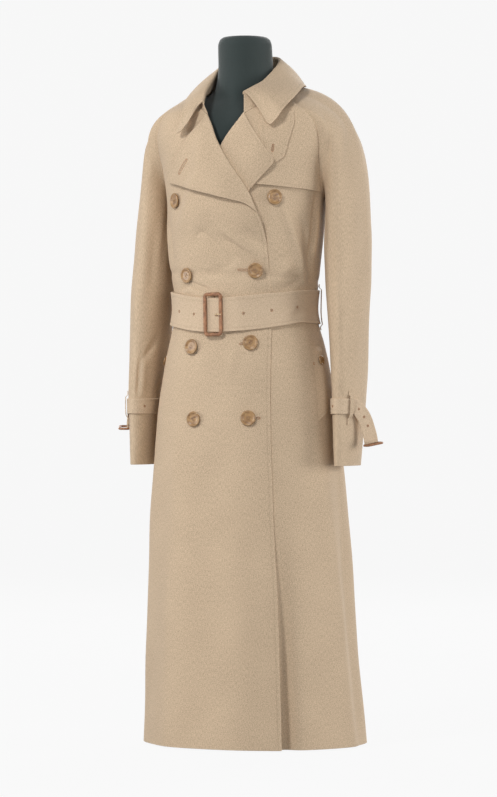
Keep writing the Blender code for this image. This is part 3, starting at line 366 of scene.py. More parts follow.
# The belt draws the cloth flat, so no fold crosses it.
BELT_HEIGHT = 0.062
BELT_CENTRE = 0.808
BELT_FRONT_DIP = 0.0155
BELT_FREE_FROM = BELT_HEIGHT / 2 - 0.002
BELT_FREE_TO = BELT_HEIGHT / 2 + 0.016

# Folds that all the body's layers share. Columns: turn and height where each starts,
# turn and height where it ends, how far it bows, its width, and its rise or sinking.
SKIRT_FOLDS = (
    (-70, 0.700, -73, -0.120, 0.000, 0.026, 0.0050),
    (-52, 0.560, -56, -0.140, 0.006, 0.030, -0.0036),
    (-34, 0.690, -30, -0.100, -0.004, 0.034, 0.0026),
    (-8, 0.520, -12, -0.160, 0.003, 0.036, -0.0024),
    (14, 0.640, 16, -0.120, 0.004, 0.030, 0.0022),
    (58, 0.600, 62, -0.150, -0.005, 0.030, -0.0030),
    (69, 0.640, 80, 0.200, 0.004, 0.016, 0.0050),
    (78, 0.330, 82, -0.140, 0.000, 0.018, 0.0050),
    (88, 0.600, 93, -0.100, 0.002, 0.020, -0.0055),
    (-91, 0.610, -94, -0.120, 0.002, 0.022, -0.0050),
    (108, 0.690, 110, -0.130, 0.004, 0.026, 0.0046),
    (126, 0.560, 129, -0.150, -0.005, 0.024, -0.0052),
    (146, 0.700, 150, -0.110, 0.003, 0.028, 0.0050),
    (168, 0.600, 166, -0.140, 0.002, 0.022, -0.0044),
    (-112, 0.680, -108, -0.120, -0.004, 0.028, 0.0050),
    (-133, 0.540, -130, -0.140, 0.004, 0.024, -0.0048),
    (-152, 0.690, -156, -0.120, -0.004, 0.026, 0.0046),
)
BACK_FOLDS = (
    (150, 0.852, 128, 0.915, 0.004, 0.008, -0.0030),
    (163, 0.862, 146, 0.962, -0.005, 0.012, 0.0028),
    (-140, 0.850, -122, 0.905, -0.004, 0.008, -0.0030),
    (-166, 0.868, -150, 0.978, 0.005, 0.011, 0.0026),
    (172, 0.846, -176, 0.880, 0.003, 0.007, -0.0018),
    (116, 0.990, 121, 0.878, 0.003, 0.010, -0.0034),
    (-117, 1.000, -119, 0.885, 0.003, 0.011, -0.0038),
    (135, 1.120, 152, 1.020, 0.006, 0.015, -0.0022),
    (-137, 1.125, -156, 1.030, -0.006, 0.016, -0.0020),
    (105, 0.775, 118, 0.700, 0.003, 0.009, -0.0024),
    (-106, 0.775, -121, 0.690, -0.003, 0.010, -0.0026),
    (158, 0.772, 152, 0.700, 0.002, 0.010, -0.0020),
)
TURN_LENGTH = 0.150
SIDES = (("left", 1.0), ("right", -1.0))
SKIRT_FOLDS_FADE = (0.52, 0.74)
WAVER = 0.0008
WAVER_FADE = (1.10, 1.16)

body_table = smooth_curves(BODY_SECTIONS)
back_raglan_table = smooth_curves(BACK_RAGLAN)


def body_points(turn, height):
    """Points on the smooth body of the coat."""
    return section_points(body_table, turn, height)


def body_normals(turn, height):
    along = body_points(turn + LATERAL_STEP, height) - body_points(turn - LATERAL_STEP, height)
    up = body_points(turn, height + UPWARD_STEP) - body_points(turn, height - UPWARD_STEP)
    return unit(np.cross(along, up))


def raglan_turn(height, table):
    """The turn of the side seam, and above the underarm of the seam to the sleeve."""
    height = np.asarray(height, dtype=float)
    side = SIDE_TURN + (UNDERARM_TURN - SIDE_TURN) * ease(height, BELT_CENTRE, UNDERARM_HEIGHT)
    return np.radians(np.where(height <= UNDERARM_HEIGHT, side, table(height)[..., 0]))


def belt_height(turn):
    return BELT_CENTRE - BELT_FRONT_DIP * np.maximum(np.cos(turn), 0.0) ** 2


def off_belt(turn, height):
    """0 where the belt holds the cloth flat, 1 clear of it."""
    return ease(np.abs(height - belt_height(turn)), BELT_FREE_FROM, BELT_FREE_TO)


def within_turn(turn):
    """A turn brought to between half a turn back and half a turn on."""
    return (turn + math.pi) % (2 * math.pi) - math.pi


def folds(rows, across, height, around):
    """The rise of the listed folds where across and height are in metres over the cloth."""
    rise = np.zeros(np.broadcast(across, height).shape)
    for across_1, height_1, across_2, height_2, bow, width, top in rows:
        for lap in (-around, 0.0, around) if around else (0.0,):
            along = np.array([across_2 - across_1, height_2 - height_1])
            length = math.hypot(*along)
            along = along / length
            right = across - across_1 - lap
            up = height - height_1
            share = (right * along[0] + up * along[1]) / length
            off = right * along[1] - up * along[0] - bow * 4 * share * (1 - share)
            fade = ease(share, -0.10, 0.40) * (1 - ease(share, 0.60, 1.10))
            rise = rise + top * fade * np.exp(-((off / width) ** 2))
    return rise


def turned_folds(rows, turn, height):
    """Folds given by turns in degrees, on the body of the coat."""
    scale = math.radians(1.0) * TURN_LENGTH
    rows = [(row[0] * scale, row[1], row[2] * scale, row[3], *row[4:]) for row in rows]
    return folds(rows, turn * TURN_LENGTH, height, 2 * math.pi * TURN_LENGTH)


def body_drape(turn, height):
    """How far all the layers stand off the smooth body: folds, and a slight waver."""
    turn = within_turn(turn)
    drape = turned_folds(SKIRT_FOLDS, turn, height) * (1 - ease(height, *SKIRT_FOLDS_FADE))
    drape = drape + turned_folds(BACK_FOLDS, turn, height)
    waver = np.sin(5 * turn + 9 * height) * np.sin(17 * height + 2 * turn + 1.0)
    waver = waver + 0.6 * np.sin(11 * turn - 14 * height + 2.0) * np.sin(31 * height + 0.5)
    loose = 1 - ease(height, *WAVER_FADE)
    return (drape + WAVER * waver * loose) * off_belt(turn, height)


def cotton_finish(name, light, dark):
    """Fine steep twill with a slight slub, sunk and puckered where it is stitched; painted shade darkens each
    sunk stitch line.
    """
    finish = Finish(name, {"Sheen Weight": 0.12, "Sheen Roughness": 0.45, "Specular IOR Level": 0.22})
    cloth = finish.node("ShaderNodeUVMap", {"uv_map": "cloth"}, {})
    across = finish.node("ShaderNodeSeparateXYZ", {}, {0: cloth}, 0)
    along = finish.node("ShaderNodeSeparateXYZ", {}, {0: cloth}, 1)
    wale = across * 9200.0 + along * 5200.0
    twill = wale.maths("SINE", wale)
    grain = finish.noise(cloth, 640.0, 3.0)
    slub = finish.node("ShaderNodeMapping", {}, {"Vector": cloth, "Scale": (1.0, 0.16, 1.0)})
    slub = finish.noise(slub, 900.0, 1.0)
    cloud = finish.noise(cloth, 11.0, 3.0)
    inset = finish.node("ShaderNodeAttribute", {"attribute_name": "edge"}, {}, 2)
    off = (inset - STITCH_INSET) / 0.0011
    sunk = off.maths("EXPONENT", off * off * -1.0)
    rim = finish.spread(inset, 0.0, 0.0022, 1.0, 0.0)
    pucker = finish.noise(cloth, 190.0, 1.0) * finish.spread(inset, 0.002, 0.014, 1.0, 0.0)
    # sunk darkens the colour along each stitch line: painted shade in the groove.
    tone = grain * 0.72 + slub * 0.28 + cloud * 0.10 + twill * 0.02 - sunk * 0.03 + rim * 0.02
    colour = finish.blend(finish.spread(tone, 0.30, 0.72), dark, light)
    relief = twill * 0.000012 + grain * 0.00003 + slub * 0.00002 - sunk * 0.00010 + pucker * 0.00016
    finish.surface(colour, 0.86 + cloud * 0.10, relief)
    return finish.material


def edged(count, near=(0.0, 0.0035, 0.012)):
    """Shares from 0 to 1, closer together at both ends, for crisp edges."""
    near = np.array(near)
    return np.concatenate([near, np.linspace(near[-1], 1 - near[-1], count)[1:-1], 1 - near[::-1]])


def lengths_along(points, axis):
    """Distances over the cloth along one axis of a grid of points."""
    steps = np.linalg.norm(np.diff(points, axis=axis), axis=-1)
    start = np.zeros_like(np.take(steps, [0], axis=axis))
    return np.cumsum(np.concatenate([start, steps], axis=axis), axis=axis)


def cloth_piece(name, outer, inner, material, stitched=""):
    """A thin shell between two grids with a soft rim. stitched names its sewn borders:
    first or last row as b or t, first or last column as l or r."""
    rows, columns = outer.shape[:2]
    count = rows * columns
    rim = list(range(columns)) + [row * columns + columns - 1 for row in range(1, rows)]
    rim += [(rows - 1) * columns + column for column in range(columns - 2, -1, -1)]
    rim += [row * columns for row in range(rows - 2, 0, -1)]
    flat_outer, flat_inner = outer.reshape(-1, 3), inner.reshape(-1, 3)
    mids = (flat_outer[rim] + flat_inner[rim]) / 2
    run = unit(np.roll(mids, -1, axis=0) - np.roll(mids, 1, axis=0) + 1e-9)
    through = unit(flat_outer[rim] - flat_inner[rim])
    out = np.cross(run, through)
    centre = (outer[rows // 2, columns // 2] + inner[rows // 2, columns // 2]) / 2
    sample = len(rim) // 8
    if np.dot(out[sample], mids[sample] - centre) < 0:
        out = -out
    thickness = np.linalg.norm(flat_outer[rim] - flat_inner[rim], axis=1, keepdims=True)
    mids = mids + out * thickness * RIM_ROUND
    row, column = np.meshgrid(np.arange(rows - 1), np.arange(columns - 1), indexing="ij")
    first = (row * columns + column).ravel()
    quads = np.stack([first, first + 1, first + columns + 1, first + columns], axis=1)
    corner, beside, _, above = quads[len(quads) // 2]
    start = flat_outer[corner]
    facing = np.cross(flat_outer[beside] - start, flat_outer[above] - start)
    flip = np.dot(facing, start - flat_inner[corner]) < 0
    outside = quads[:, ::-1] if flip else quads
    inside = (quads if flip else quads[:, ::-1]) + count
    faces = outside.tolist() + inside.tolist()
    for index, (here, there) in enumerate(zip(rim, rim[1:] + rim[:1])):
        low, high = 2 * count + index, 2 * count + (index + 1) % len(rim)
        for face in ((there, here, low, high), (high, low, count + here, count + there)):
            faces.append(tuple(reversed(face)) if flip else face)
    reach, along = lengths_along(outer, 1), lengths_along(outer, 0)
    across = reach - reach[:, columns // 2 : columns // 2 + 1]
    uv = np.stack([across, along], axis=-1).reshape(-1, 2)
    insets = {"l": reach, "r": reach[:, -1:] - reach, "b": along, "t": along[-1:] - along}
    inset = np.full((rows, columns), 1.0)
    for border in stitched:
        inset = np.minimum(inset, insets[border])
    inset = inset.ravel()
    points = np.concatenate([flat_outer, flat_inner, mids])
    uv = np.concatenate([uv, uv, uv[rim]])
    inset = np.concatenate([inset, np.full(count, 1.0), inset[rim]])
    return make_piece(name, points, faces, material, uv, inset)


def inset_path(outer, border, inset=STITCH_INSET, trim=0.0):
    """The path a little inside one border of a grid of points: b, t, l or r."""
    grid = outer.transpose(1, 0, 2) if border in "bt" else outer
    if border in "rt":
        grid = grid[:, ::-1]
    reach = lengths_along(grid, 1)
    lines = zip(grid, reach)
    path = np.array([[np.interp(inset, far, line[:, axis]) for axis in range(3)] for line, far in lines])
    if trim:
        far = lengths_along(path[None], 1)[0]
        path = path[(far > trim) & (far < far[-1] - trim)]
    return path


thread_paths = []


def topstitch(outer, borders, inset=STITCH_INSET, trim=STITCH_INSET):
    """Keeps the paths of a row of stitches along some borders, to sew all at the end."""
    steps = np.cross(np.gradient(outer, axis=0), np.gradient(outer, axis=1))
    normals = unit(steps + 1e-12)
    for border in borders:
        lined = inset_path(outer, border, inset, trim)
        raised = inset_path(outer + normals * STITCH_LIFT, border, inset, trim)
        if len(raised) == len(lined):
            thread_paths.append(raised)


def thinned(outer, normals, thickness=CLOTH):
    return outer - normals * thickness


def panel_heights(*stretches):
    """Levels from the hem up: three at its edge, then (top, count) for each stretch."""
    levels = [[HEM_HEIGHT, HEM_HEIGHT + 0.001, HEM_HEIGHT + 0.004]]
    low, skip = SKIRT_START, 0
    for top, count in stretches:
        levels.append(np.linspace(low, top, count)[skip:])
        low, skip = top, 1
    return np.concatenate(levels)[:, None]


cotton = cotton_finish("cotton_gabardine", (0.700, 0.536, 0.371, 1), (0.355, 0.260, 0.170, 1))
share = edged(74)[None, :]
height = panel_heights((SKIRT_TOP, 100), (UNDERARM_HEIGHT, 84), (BACK_TOP_HEIGHT, 56)) + 0 * share
outer_turn = raglan_turn(height, back_raglan_table) + SEAM_TURN / 2
back_turn = math.pi - SEAM_TURN / 2 + (outer_turn - math.pi + SEAM_TURN / 2) * share
back_height = height + NAPE_RISE * (1 - share**2) * ease(height, 1.16, BACK_TOP_HEIGHT)
for name, side in SIDES:
    turn = back_turn * side
    normals = body_normals(turn, back_height)
    seam = SEAM_SINK * np.exp(-((share * BACK_WIDTH / SEAM_SINK_WIDTH) ** 2))
    outer = body_points(turn, back_height) + normals * (body_drape(turn, back_height) - seam)[..., None]
    back = cloth_piece("back_panel_" + name, outer, thinned(outer, normals), cotton, "lr")
    topstitch(outer, "l")
    fixed(back, "back_" + name)

# ---- front panels
# Two fronts of the same gabardine. The wearer's right laps far over the left and buttons
# there; at the chest it stands off by the thickness of what is folded beneath it.

# The edge that overlaps: height, and how far it is across from the middle.
FRONT_EDGE = (
    (0.0035, 0.1120),
    (0.272, 0.1042),
    (0.418, 0.0963),
    (0.600, 0.0898),
    (0.770, 0.0878),
    (0.834, 0.0860),
    (0.874, 0.0842),
    (0.920, 0.0822),
    (0.956, 0.0750),
    (0.980, 0.0655),
    (1.014, 0.0520),
    (1.098, -0.0020),
    (1.158, -0.037),
)
# The neckline and the seam to the sleeve: height and turn in degrees.
FRONT_NECKLINE = (
    (1.1580, 18.1),
    (1.1780, 33.7),
    (1.1900, 43.0),
    (1.2030, 53.5),
    (1.2055, 55.5),
)
FRONT_RAGLAN = (
    (1.005, 97.0),
    (1.015, 89.5),
    (1.030, 83.5),
    (1.060, 77.5),
    (1.090, 73.5),
    (1.120, 70.5),
    (1.150, 67.0),
    (1.165, 64.0),
    (1.180, 60.0),
    (1.195, 58.0),
    (1.2055, 59.0),
)
COLLAR_END_HEIGHT = 1.158
PANEL_TOP_HEIGHT = 1.2055
CHEST_GAP = 0.0010
WALL = 0.0016
LAYER_GAP = 0.0004
FLAP_TOP = CHEST_GAP + WALL
LEFT_LAPEL_TOP = FLAP_TOP + CHEST_GAP + WALL
LAPEL_GAP = 0.0020
CHEST_FRONT_TOP = LEFT_LAPEL_TOP + LAPEL_GAP + WALL
SKIRT_FRONT_TOP = LAYER_GAP + WALL
OVERLAP_FADE = 0.030
HEM_FOLD_TOP = 0.480
HEM_FOLD_DEPTH = 0.018
HEM_FOLD_WIDTH = 0.014
HEM_EDGE_LIFT = 0.004
HEM_FOLD_INSET = 0.009
CHEST_RISE = (0.925, 0.985)
THROAT_FALL = (1.105, 1.140)
EDGE_STITCH_TOP = 1.0

RIGHT_FRONT_FOLDS = (
    (40, 0.856, -1, 0.938, 0.003, 0.0085, -0.0072),
    (24, 0.892, -4, 0.956, 0.004, 0.0110, 0.0034),
    (8, 0.885, -22, 0.946, 0.002, 0.0090, -0.0054),
    (40, 0.905, 18, 0.948, 0.001, 0.0085, -0.0030),
    (-48, 0.824, -29, 0.857, 0.000, 0.0050, -0.0050),
    (-38, 0.854, -10, 0.834, 0.002, 0.0055, -0.0070),
    (-46, 0.836, -18, 0.836, 0.000, 0.0060, 0.0034),
    (-12, 0.862, 16, 0.905, 0.003, 0.0110, -0.0018),
    (-30, 0.905, -4, 0.978, 0.004, 0.0140, -0.0018),
    (-62, 0.985, -52, 0.880, 0.003, 0.0120, -0.0036),
    (-74, 0.990, -66, 0.860, 0.002, 0.0110, 0.0030),
    (-20, 0.690, -34, 0.752, 0.003, 0.0090, -0.0018),
    (6, 0.668, 14, 0.742, -0.002, 0.0120, 0.0016),
)
LEFT_FRONT_FOLDS = (
    (80, 1.030, 77, 0.872, 0.000, 0.0060, -0.0055),
    (86, 1.010, 83, 0.870, 0.001, 0.0080, 0.0032),
    (48, 1.000, 78, 0.826, 0.004, 0.0100, 0.0070),
    (64, 0.975, 85, 0.845, 0.002, 0.0100, -0.0044),
    (40, 0.838, 60, 0.892, -0.002, 0.0130, 0.0044),
    (50, 0.836, 66, 0.854, 0.001, 0.0080, -0.0030),
    (34, 1.000, 33, 0.850, 0.000, 0.0100, -0.0036),
    (38, 0.940, 50, 0.990, 0.000, 0.0120, -0.0014),
    (43, 0.486, 38, 0.452, 0.000, 0.0070, -0.0012),
)

edge_table = smooth_curves(FRONT_EDGE)
neckline_table = smooth_curves(FRONT_NECKLINE)
front_raglan_table = smooth_curves(FRONT_RAGLAN)


def turn_of(across, height):
    """The turn of the front point that lies a distance across from the middle."""
    columns = body_table(height)
    half_depth = (columns[..., 1] + columns[..., 2]) / 2
    ratio = np.clip(np.abs(across) / columns[..., 0], 0.0, 0.9999)
    return np.arctan2(across, half_depth * (1 - ratio ** columns[..., 3]) ** (1 / columns[..., 3]))


def edge_turn(height):
    """The inner limit of a front, as a turn towards the other side of the middle."""
    height = np.asarray(height, dtype=float)
    on_front = turn_of(edge_table(height)[..., 0], height)
    on_neck = -np.radians(neckline_table(height)[..., 0])
    return np.where(height <= COLLAR_END_HEIGHT, on_front, on_neck)


def hem_fold(height):
    """How far open the fronts fall: 1 at the hem, 0 where the fold starts."""
    return 1 - ease(height, HEM_HEIGHT, HEM_FOLD_TOP)


def right_front_top(turn, height):
    """The outer offset of the overlapping front: raised where it crosses the other."""
    across = body_points(turn, height)[..., 0]
    reach = np.maximum(edge_table(height)[..., 0], 0.03)
    over = ease(across, -reach - OVERLAP_FADE, -reach)
    throat = 1 - ease(height, *THROAT_FALL)
    layers = SKIRT_FRONT_TOP + (CHEST_FRONT_TOP - SKIRT_FRONT_TOP) * ease(height, *CHEST_RISE)
    edge = HEM_EDGE_LIFT * hem_fold(height) * ease(across, reach - 0.04, reach)
    laps = turned_folds(RIGHT_FRONT_FOLDS, turn, height) * off_belt(turn, height)
    return layers * over * throat + edge + laps


def left_front_top(turn, height):
    """The outer offset of the front underneath: it folds in behind the edge at the hem."""
    across = body_points(turn, height)[..., 0]
    middle = edge_table(height)[..., 0] + HEM_FOLD_INSET
    dip = np.exp(-(((across - middle) / HEM_FOLD_WIDTH) ** 2))
    laps = turned_folds(LEFT_FRONT_FOLDS, turn, height) * off_belt(turn, height)
    return -HEM_FOLD_DEPTH * hem_fold(height) * dip + laps


def on_body(turn, height, offset):
    """Points and normals at an offset from the draped body."""
    normals = body_normals(turn, height)
    return body_points(turn, height) + normals * (offset + body_drape(turn, height))[..., None], normals


share = edged(104)[None, :]
skirt_and_waist = ((SKIRT_TOP, 110), (UNDERARM_HEIGHT, 100))
height = panel_heights(*skirt_and_waist, (COLLAR_END_HEIGHT, 50), (PANEL_TOP_HEIGHT, 16)) + 0 * share
edge_stitch_end = int(np.argmin(np.abs(height[:, 0] - EDGE_STITCH_TOP)))
raglan_start = int(np.argmin(np.abs(height[:, 0] - UNDERARM_HEIGHT))) + 6
inner_turn = edge_turn(height)
outer_turn = raglan_turn(height, front_raglan_table) - SEAM_TURN / 2
front_turn = inner_turn + (-outer_turn - inner_turn) * share
for name, side, top in (("right", 1.0, right_front_top), ("left", -1.0, left_front_top)):
    turn = front_turn * side
    outer, normals = on_body(turn, height, top(turn, height))
    front = cloth_piece("front_panel_" + name, outer, thinned(outer, normals), cotton, "l")
    topstitch(outer[:edge_stitch_end], "l")
    topstitch(outer[raglan_start:], "r")
    fixed(front, "front_" + name)

# ---- raglan sleeves
# Two-piece sleeves cut up to the neckline. They hang slightly bent, folded flat at the
# elbow and over the straps; the seams run over the arm and beneath it.

# Sections of the left arm by height: its middle across and back, its half width and
# its half depth.
ARM_SECTIONS = (
    (0.518, 0.2020, -0.025, 0.0168, 0.053),
    (0.637, 0.2020, -0.017, 0.0250, 0.059),
    (0.730, 0.1990, -0.007, 0.0295, 0.064),
    (0.820, 0.1950, 0.000, 0.0345, 0.070),
    (0.860, 0.1925, 0.006, 0.0365, 0.073),
    (0.920, 0.1885, 0.014, 0.0370, 0.076),
    (0.985, 0.1862, 0.020, 0.0340, 0.077),
)
# Heights at which the armhole's seams are matched, from the underarm to the neck.
FRONT_NOTCHES = (1.005, 1.020, 1.045, 1.075, 1.105, 1.133, 1.158, 1.180, 1.195, 1.2055)
BACK_NOTCHES = (1.005, 1.020, 1.045, 1.075, 1.105, 1.135, 1.162, 1.185, 1.205, 1.222)
UNDERARM_TWIST = 0.20
NECK_SHARE = 0.07
OVERARM_TURN = 85.0
OVERARM_HEIGHT = 1.2170
CAP_FIRST_ACROSS = 0.86
CAP_FIRST_DOWN = 0.08
CAP_LAST_UP = 0.58
SEAM_GAP = 0.0003
CUFF_HEIGHT = ARM_SECTIONS[0][0]
ARM_TOP_HEIGHT = ARM_SECTIONS[-1][0]
SHARE_LENGTH = 0.175
STRAP_HEIGHT = 0.626
STRAP_WIDTH = 0.027
STRAP_FADE = 0.010
SLEEVE_WAVER = 0.0005
# How far and how widely the cloth sinks in at the seams and where it meets the body.
SLEEVE_SEAM_SINK = (0.0004, 0.008)
CAP_SEAM_SINK = (0.0003, 0.012)

# Folds of each sleeve, with the body's columns, but by share round the arm (0 outside,
# 0.5 front, 1 inside, and less than 0 on the back half) in place of the turn.
LEFT_SLEEVE_FOLDS = (
    (0.22, 1.165, 0.62, 1.055, -0.006, 0.0065, -0.0034),
    (0.06, 1.165, 0.44, 1.040, -0.004, 0.0110, 0.0032),
    (0.30, 0.850, 0.25, 0.640, 0.002, 0.0110, -0.0016),
    (0.44, 0.880, 0.40, 0.665, 0.000, 0.0160, 0.0018),
    (0.12, 0.792, 0.21, 0.764, 0.001, 0.0050, -0.0016),
    (0.56, 0.980, 0.60, 0.760, 0.004, 0.0120, -0.0020),
    (0.80, 0.990, 0.72, 0.900, 0.004, 0.0100, -0.0026),
    (0.50, 0.662, 0.38, 0.638, 0.002, 0.0040, -0.0020),
    (0.08, 1.050, 0.12, 0.860, 0.004, 0.0150, -0.0018),
    (-0.20, 1.150, -0.50, 1.020, 0.008, 0.0110, -0.0032),
    (-0.36, 1.060, -0.68, 0.960, 0.004, 0.0110, 0.0026),
    (-0.30, 0.960, -0.22, 0.700, -0.004, 0.0130, -0.0026),
    (-0.55, 0.860, -0.30, 0.790, 0.006, 0.0080, -0.0028),
    (-0.62, 0.830, -0.34, 0.745, 0.006, 0.0090, -0.0024),
    (-0.50, 0.720, -0.46, 0.650, 0.000, 0.0090, -0.0022),
)
RIGHT_SLEEVE_FOLDS = (
    (0.18, 1.155, 0.56, 1.050, -0.005, 0.0080, -0.0022),
    (0.92, 0.768, 0.60, 0.706, -0.004, 0.0075, -0.0036),
    (0.60, 0.722, 0.595, 0.632, 0.001, 0.0060, -0.0040),
    (0.68, 0.735, 0.69, 0.640, 0.001, 0.0090, 0.0022),
    (0.98, 0.680, 0.90, 0.642, 0.001, 0.0060, -0.0022),
    (0.52, 1.000, 0.58, 0.830, 0.003, 0.0150, 0.0020),
    (0.72, 0.985, 0.70, 0.820, 0.003, 0.0110, -0.0022),
    (0.34, 0.960, 0.30, 0.700, -0.003, 0.0140, -0.0016),
    (0.90, 1.000, 0.84, 0.880, 0.004, 0.0090, -0.0022),
    (-0.18, 1.140, -0.46, 1.030, 0.006, 0.0100, -0.0030),
    (-0.34, 1.070, -0.62, 0.970, 0.005, 0.0120, 0.0024),
    (-0.26, 0.930, -0.28, 0.680, 0.003, 0.0120, -0.0028),
    (-0.60, 0.870, -0.32, 0.800, 0.005, 0.0090, -0.0026),
    (-0.48, 0.790, -0.22, 0.735, 0.005, 0.0080, -0.0022),
)


def armhole_shares(notches, raglan):
    """Rows of share and height: how far each notch is along the top of the sleeve."""
    heights = np.array(notches)[::-1]
    seam = body_points(raglan_turn(heights, raglan), heights)
    lengths = lengths_along(seam, 0)
    return np.stack([NECK_SHARE + (1 - NECK_SHARE) * lengths / lengths[-1], heights], axis=1)


front_armhole_table = smooth_curves(armhole_shares(FRONT_NOTCHES, front_raglan_table))
back_armhole_table = smooth_curves(armhole_shares(BACK_NOTCHES, back_raglan_table))
arm_table = smooth_curves(ARM_SECTIONS)


def armhole_start(share):
    """Turn and height of the sleeve's top edge; share > 0 is its front half."""
    reach = np.abs(share)
    front = share >= 0
    height = np.where(front, front_armhole_table(reach)[..., 0], back_armhole_table(reach)[..., 0])
    turn_front = raglan_turn(height, front_raglan_table)
    turn = np.where(front, turn_front, raglan_turn(height, back_raglan_table))
    along_neck = np.clip(reach / NECK_SHARE, 0, 1)
    height = OVERARM_HEIGHT + (height - OVERARM_HEIGHT) * along_neck
    middle = math.radians(OVERARM_TURN)
    return middle + (turn - middle) * along_neck, height


def arm_ring(share, height):
    """Points round the arm; share 0 is the outside, 0.5 the front, 1 the inside."""
    columns = arm_table(height)
    angle = share * math.pi - UNDERARM_TWIST * share**2 * ease(height, CUFF_HEIGHT, ARM_TOP_HEIGHT)
    x = columns[..., 0] + columns[..., 2] * np.cos(angle)
    y = columns[..., 1] - columns[..., 3] * np.sin(angle)
    return np.stack([x, y, height + 0 * x], axis=-1)


def sleeve_points(share, down):
    """The wearer's left sleeve. down 0 to 1 is its cap, and 1 to 2 its arm."""
    share, down = np.broadcast_arrays(np.asarray(share, float), np.asarray(down, float))
    turn, height = armhole_start(share)
    side = np.where(share >= 0, 1.0, -1.0)
    on_seam = side * np.clip(np.abs(share) / NECK_SHARE, 0, 1) * (1 - share**12)
    start = body_points(turn + on_seam * SEAM_TURN / 2, height)
    low = ease(PANEL_TOP_HEIGHT - height, 0.0, PANEL_TOP_HEIGHT - UNDERARM_HEIGHT)
    start[..., 0] += SEAM_GAP * low
    start[..., 2] -= SEAM_GAP * low
    end = arm_ring(share, np.full(share.shape, ARM_TOP_HEIGHT))
    reach = end - start
    first = start + reach * np.array([CAP_FIRST_ACROSS, CAP_FIRST_ACROSS, CAP_FIRST_DOWN])
    rising = unit(end - arm_ring(share, np.full(share.shape, ARM_TOP_HEIGHT - 0.01)))
    last = end - rising * reach[..., 2:3] * CAP_LAST_UP
    step = np.clip(down, 0, 1)[..., None]
    cap = start * (1 - step) ** 3 + first * 3 * step * (1 - step) ** 2
    cap = cap + last * 3 * step**2 * (1 - step) + end * step**3
    drop = np.clip(down - 1, 0, 1)
    arm = arm_ring(share, ARM_TOP_HEIGHT + (CUFF_HEIGHT - ARM_TOP_HEIGHT) * drop)
    return np.where((down <= 1)[..., None], cap, arm)


def half_sleeve_normals(share, down):
    """Normals worked out inside one half and one part of the sleeve, never over a seam."""
    step = 0.006
    side = np.where(share >= 0, 1.0, -1.0)
    near_share = np.where(np.abs(share) > 1 - step, share - step * side, share)
    near_share = np.where(np.abs(near_share) < step, step * side, near_share)
    near_down = np.clip(down, step, 2 - step)
    near_down = np.where(np.abs(near_down - 1) < step, 1 + step, near_down)
    across = sleeve_points(near_share + step, near_down) - sleeve_points(near_share - step, near_down)
    along = sleeve_points(near_share, near_down + step) - sleeve_points(near_share, near_down - step)
    return unit(np.cross(across, along))


def sleeve_normals(share, down):
    """Normals of the sleeve, shared by its halves at their seams and by the body above."""
    normals = half_sleeve_normals(share, down)
    on_underarm = (np.abs(share) > 0.999)[..., None]
    normals = np.where(on_underarm, unit(normals + half_sleeve_normals(-share, down)), normals)
    turn, height = armhole_start(share)
    at_panel = unit(body_normals(turn, height) + normals)
    return np.where((down < 1e-6)[..., None], at_panel, normals)


def sleeve_drape(rows, share, down):
    """How far a sleeve stands off its smooth form: folds and a waver, none at the straps."""
    height = sleeve_points(share, down)[..., 2]
    rows = [(row[0] * SHARE_LENGTH, row[1], row[2] * SHARE_LENGTH, *row[3:]) for row in rows]
    drape = folds(rows, share * SHARE_LENGTH, height, 2 * SHARE_LENGTH)
    waver = np.sin(4 * math.pi * share + 11 * height) * np.sin(19 * height + rows[0][0] * 90)
    waver = waver + 0.5 * np.sin(6 * math.pi * share - 16 * height) * np.sin(41 * height)
    off_strap = ease(np.abs(height - STRAP_HEIGHT), STRAP_WIDTH / 2, STRAP_WIDTH / 2 + STRAP_FADE)
    return (drape + SLEEVE_WAVER * waver) * off_strap * ease(down, 0.02, 0.30)


def seam_sink(sink, off):
    """How far the cloth sinks in, at a distance off its seam."""
    return sink[0] * np.exp(-((off / sink[1]) ** 2))


down = np.concatenate([edged(54)[:-3], np.linspace(1.0, 1.992, 136), [1.997, 2.0]])[:, None]
for half, way in (("front", 1.0), ("back", -1.0)):
    share = way * edged(58, (0.0, 0.005, 0.02))[None, :] + 0 * down
    share = np.where(np.abs(share) < 1e-9, way * 1e-7, share)
    level = down + 0 * share
    normals = sleeve_normals(share, level)
    seam = seam_sink(SLEEVE_SEAM_SINK, np.abs(share)) + seam_sink(CAP_SEAM_SINK, level)
    for name, side, rows in (("left", 1.0, LEFT_SLEEVE_FOLDS), ("right", -1.0, RIGHT_SLEEVE_FOLDS)):
        outer = sleeve_points(share, level) + normals * (sleeve_drape(rows, share, level) - seam)[..., None]
        inner = thinned(outer, normals)
        flip = np.array([side, 1.0, 1.0])
        piece_name = f"sleeve_{name}_{half}"
        sleeve = cloth_piece(piece_name + "_cloth", outer * flip, inner * flip, cotton, "bl")
        topstitch(outer * flip, "b", trim=0.001)
        fixed(sleeve, piece_name)

# ---- lapels
# The turned-back facings of both fronts, double cloth rolled softly along the edge and
# stitched round. The right one lies over the left and has a worked buttonhole.

LAPEL_TOP_HEIGHT = 1.157
LAPEL_LOW_RIGHT = 0.9785
LAPEL_LOW_LEFT = 0.9790
LAPEL_TIP_RIGHT = (0.1145, 1.0380)
LAPEL_TIP_LEFT = (0.0955, 1.0700)
# How far a lapel lifts off the front, where out from its roll that starts and is full,
# and the share of it that is left at the tip.
LAPEL_LIFT_RIGHT = (0.0070, 0.0, 0.35, 0.75)
LAPEL_LIFT_LEFT = (0.0050, 0.3, 0.75, 1.00)
LAPEL_CURL = 0.18
LAPEL_CURL_REACH = 0.15
# The line along which the left front turns back: height, and distance across.
LEFT_ROLL = (
    (0.9700, 0.0280),
    (0.9860, 0.0220),
    (1.0250, 0.0060),
    (1.0700, -0.0060),
    (1.0980, 0.0020),
    (1.1570, 0.0370),
)
LAPEL_BELLY = 0.0014
ROLL_STEPS = 7

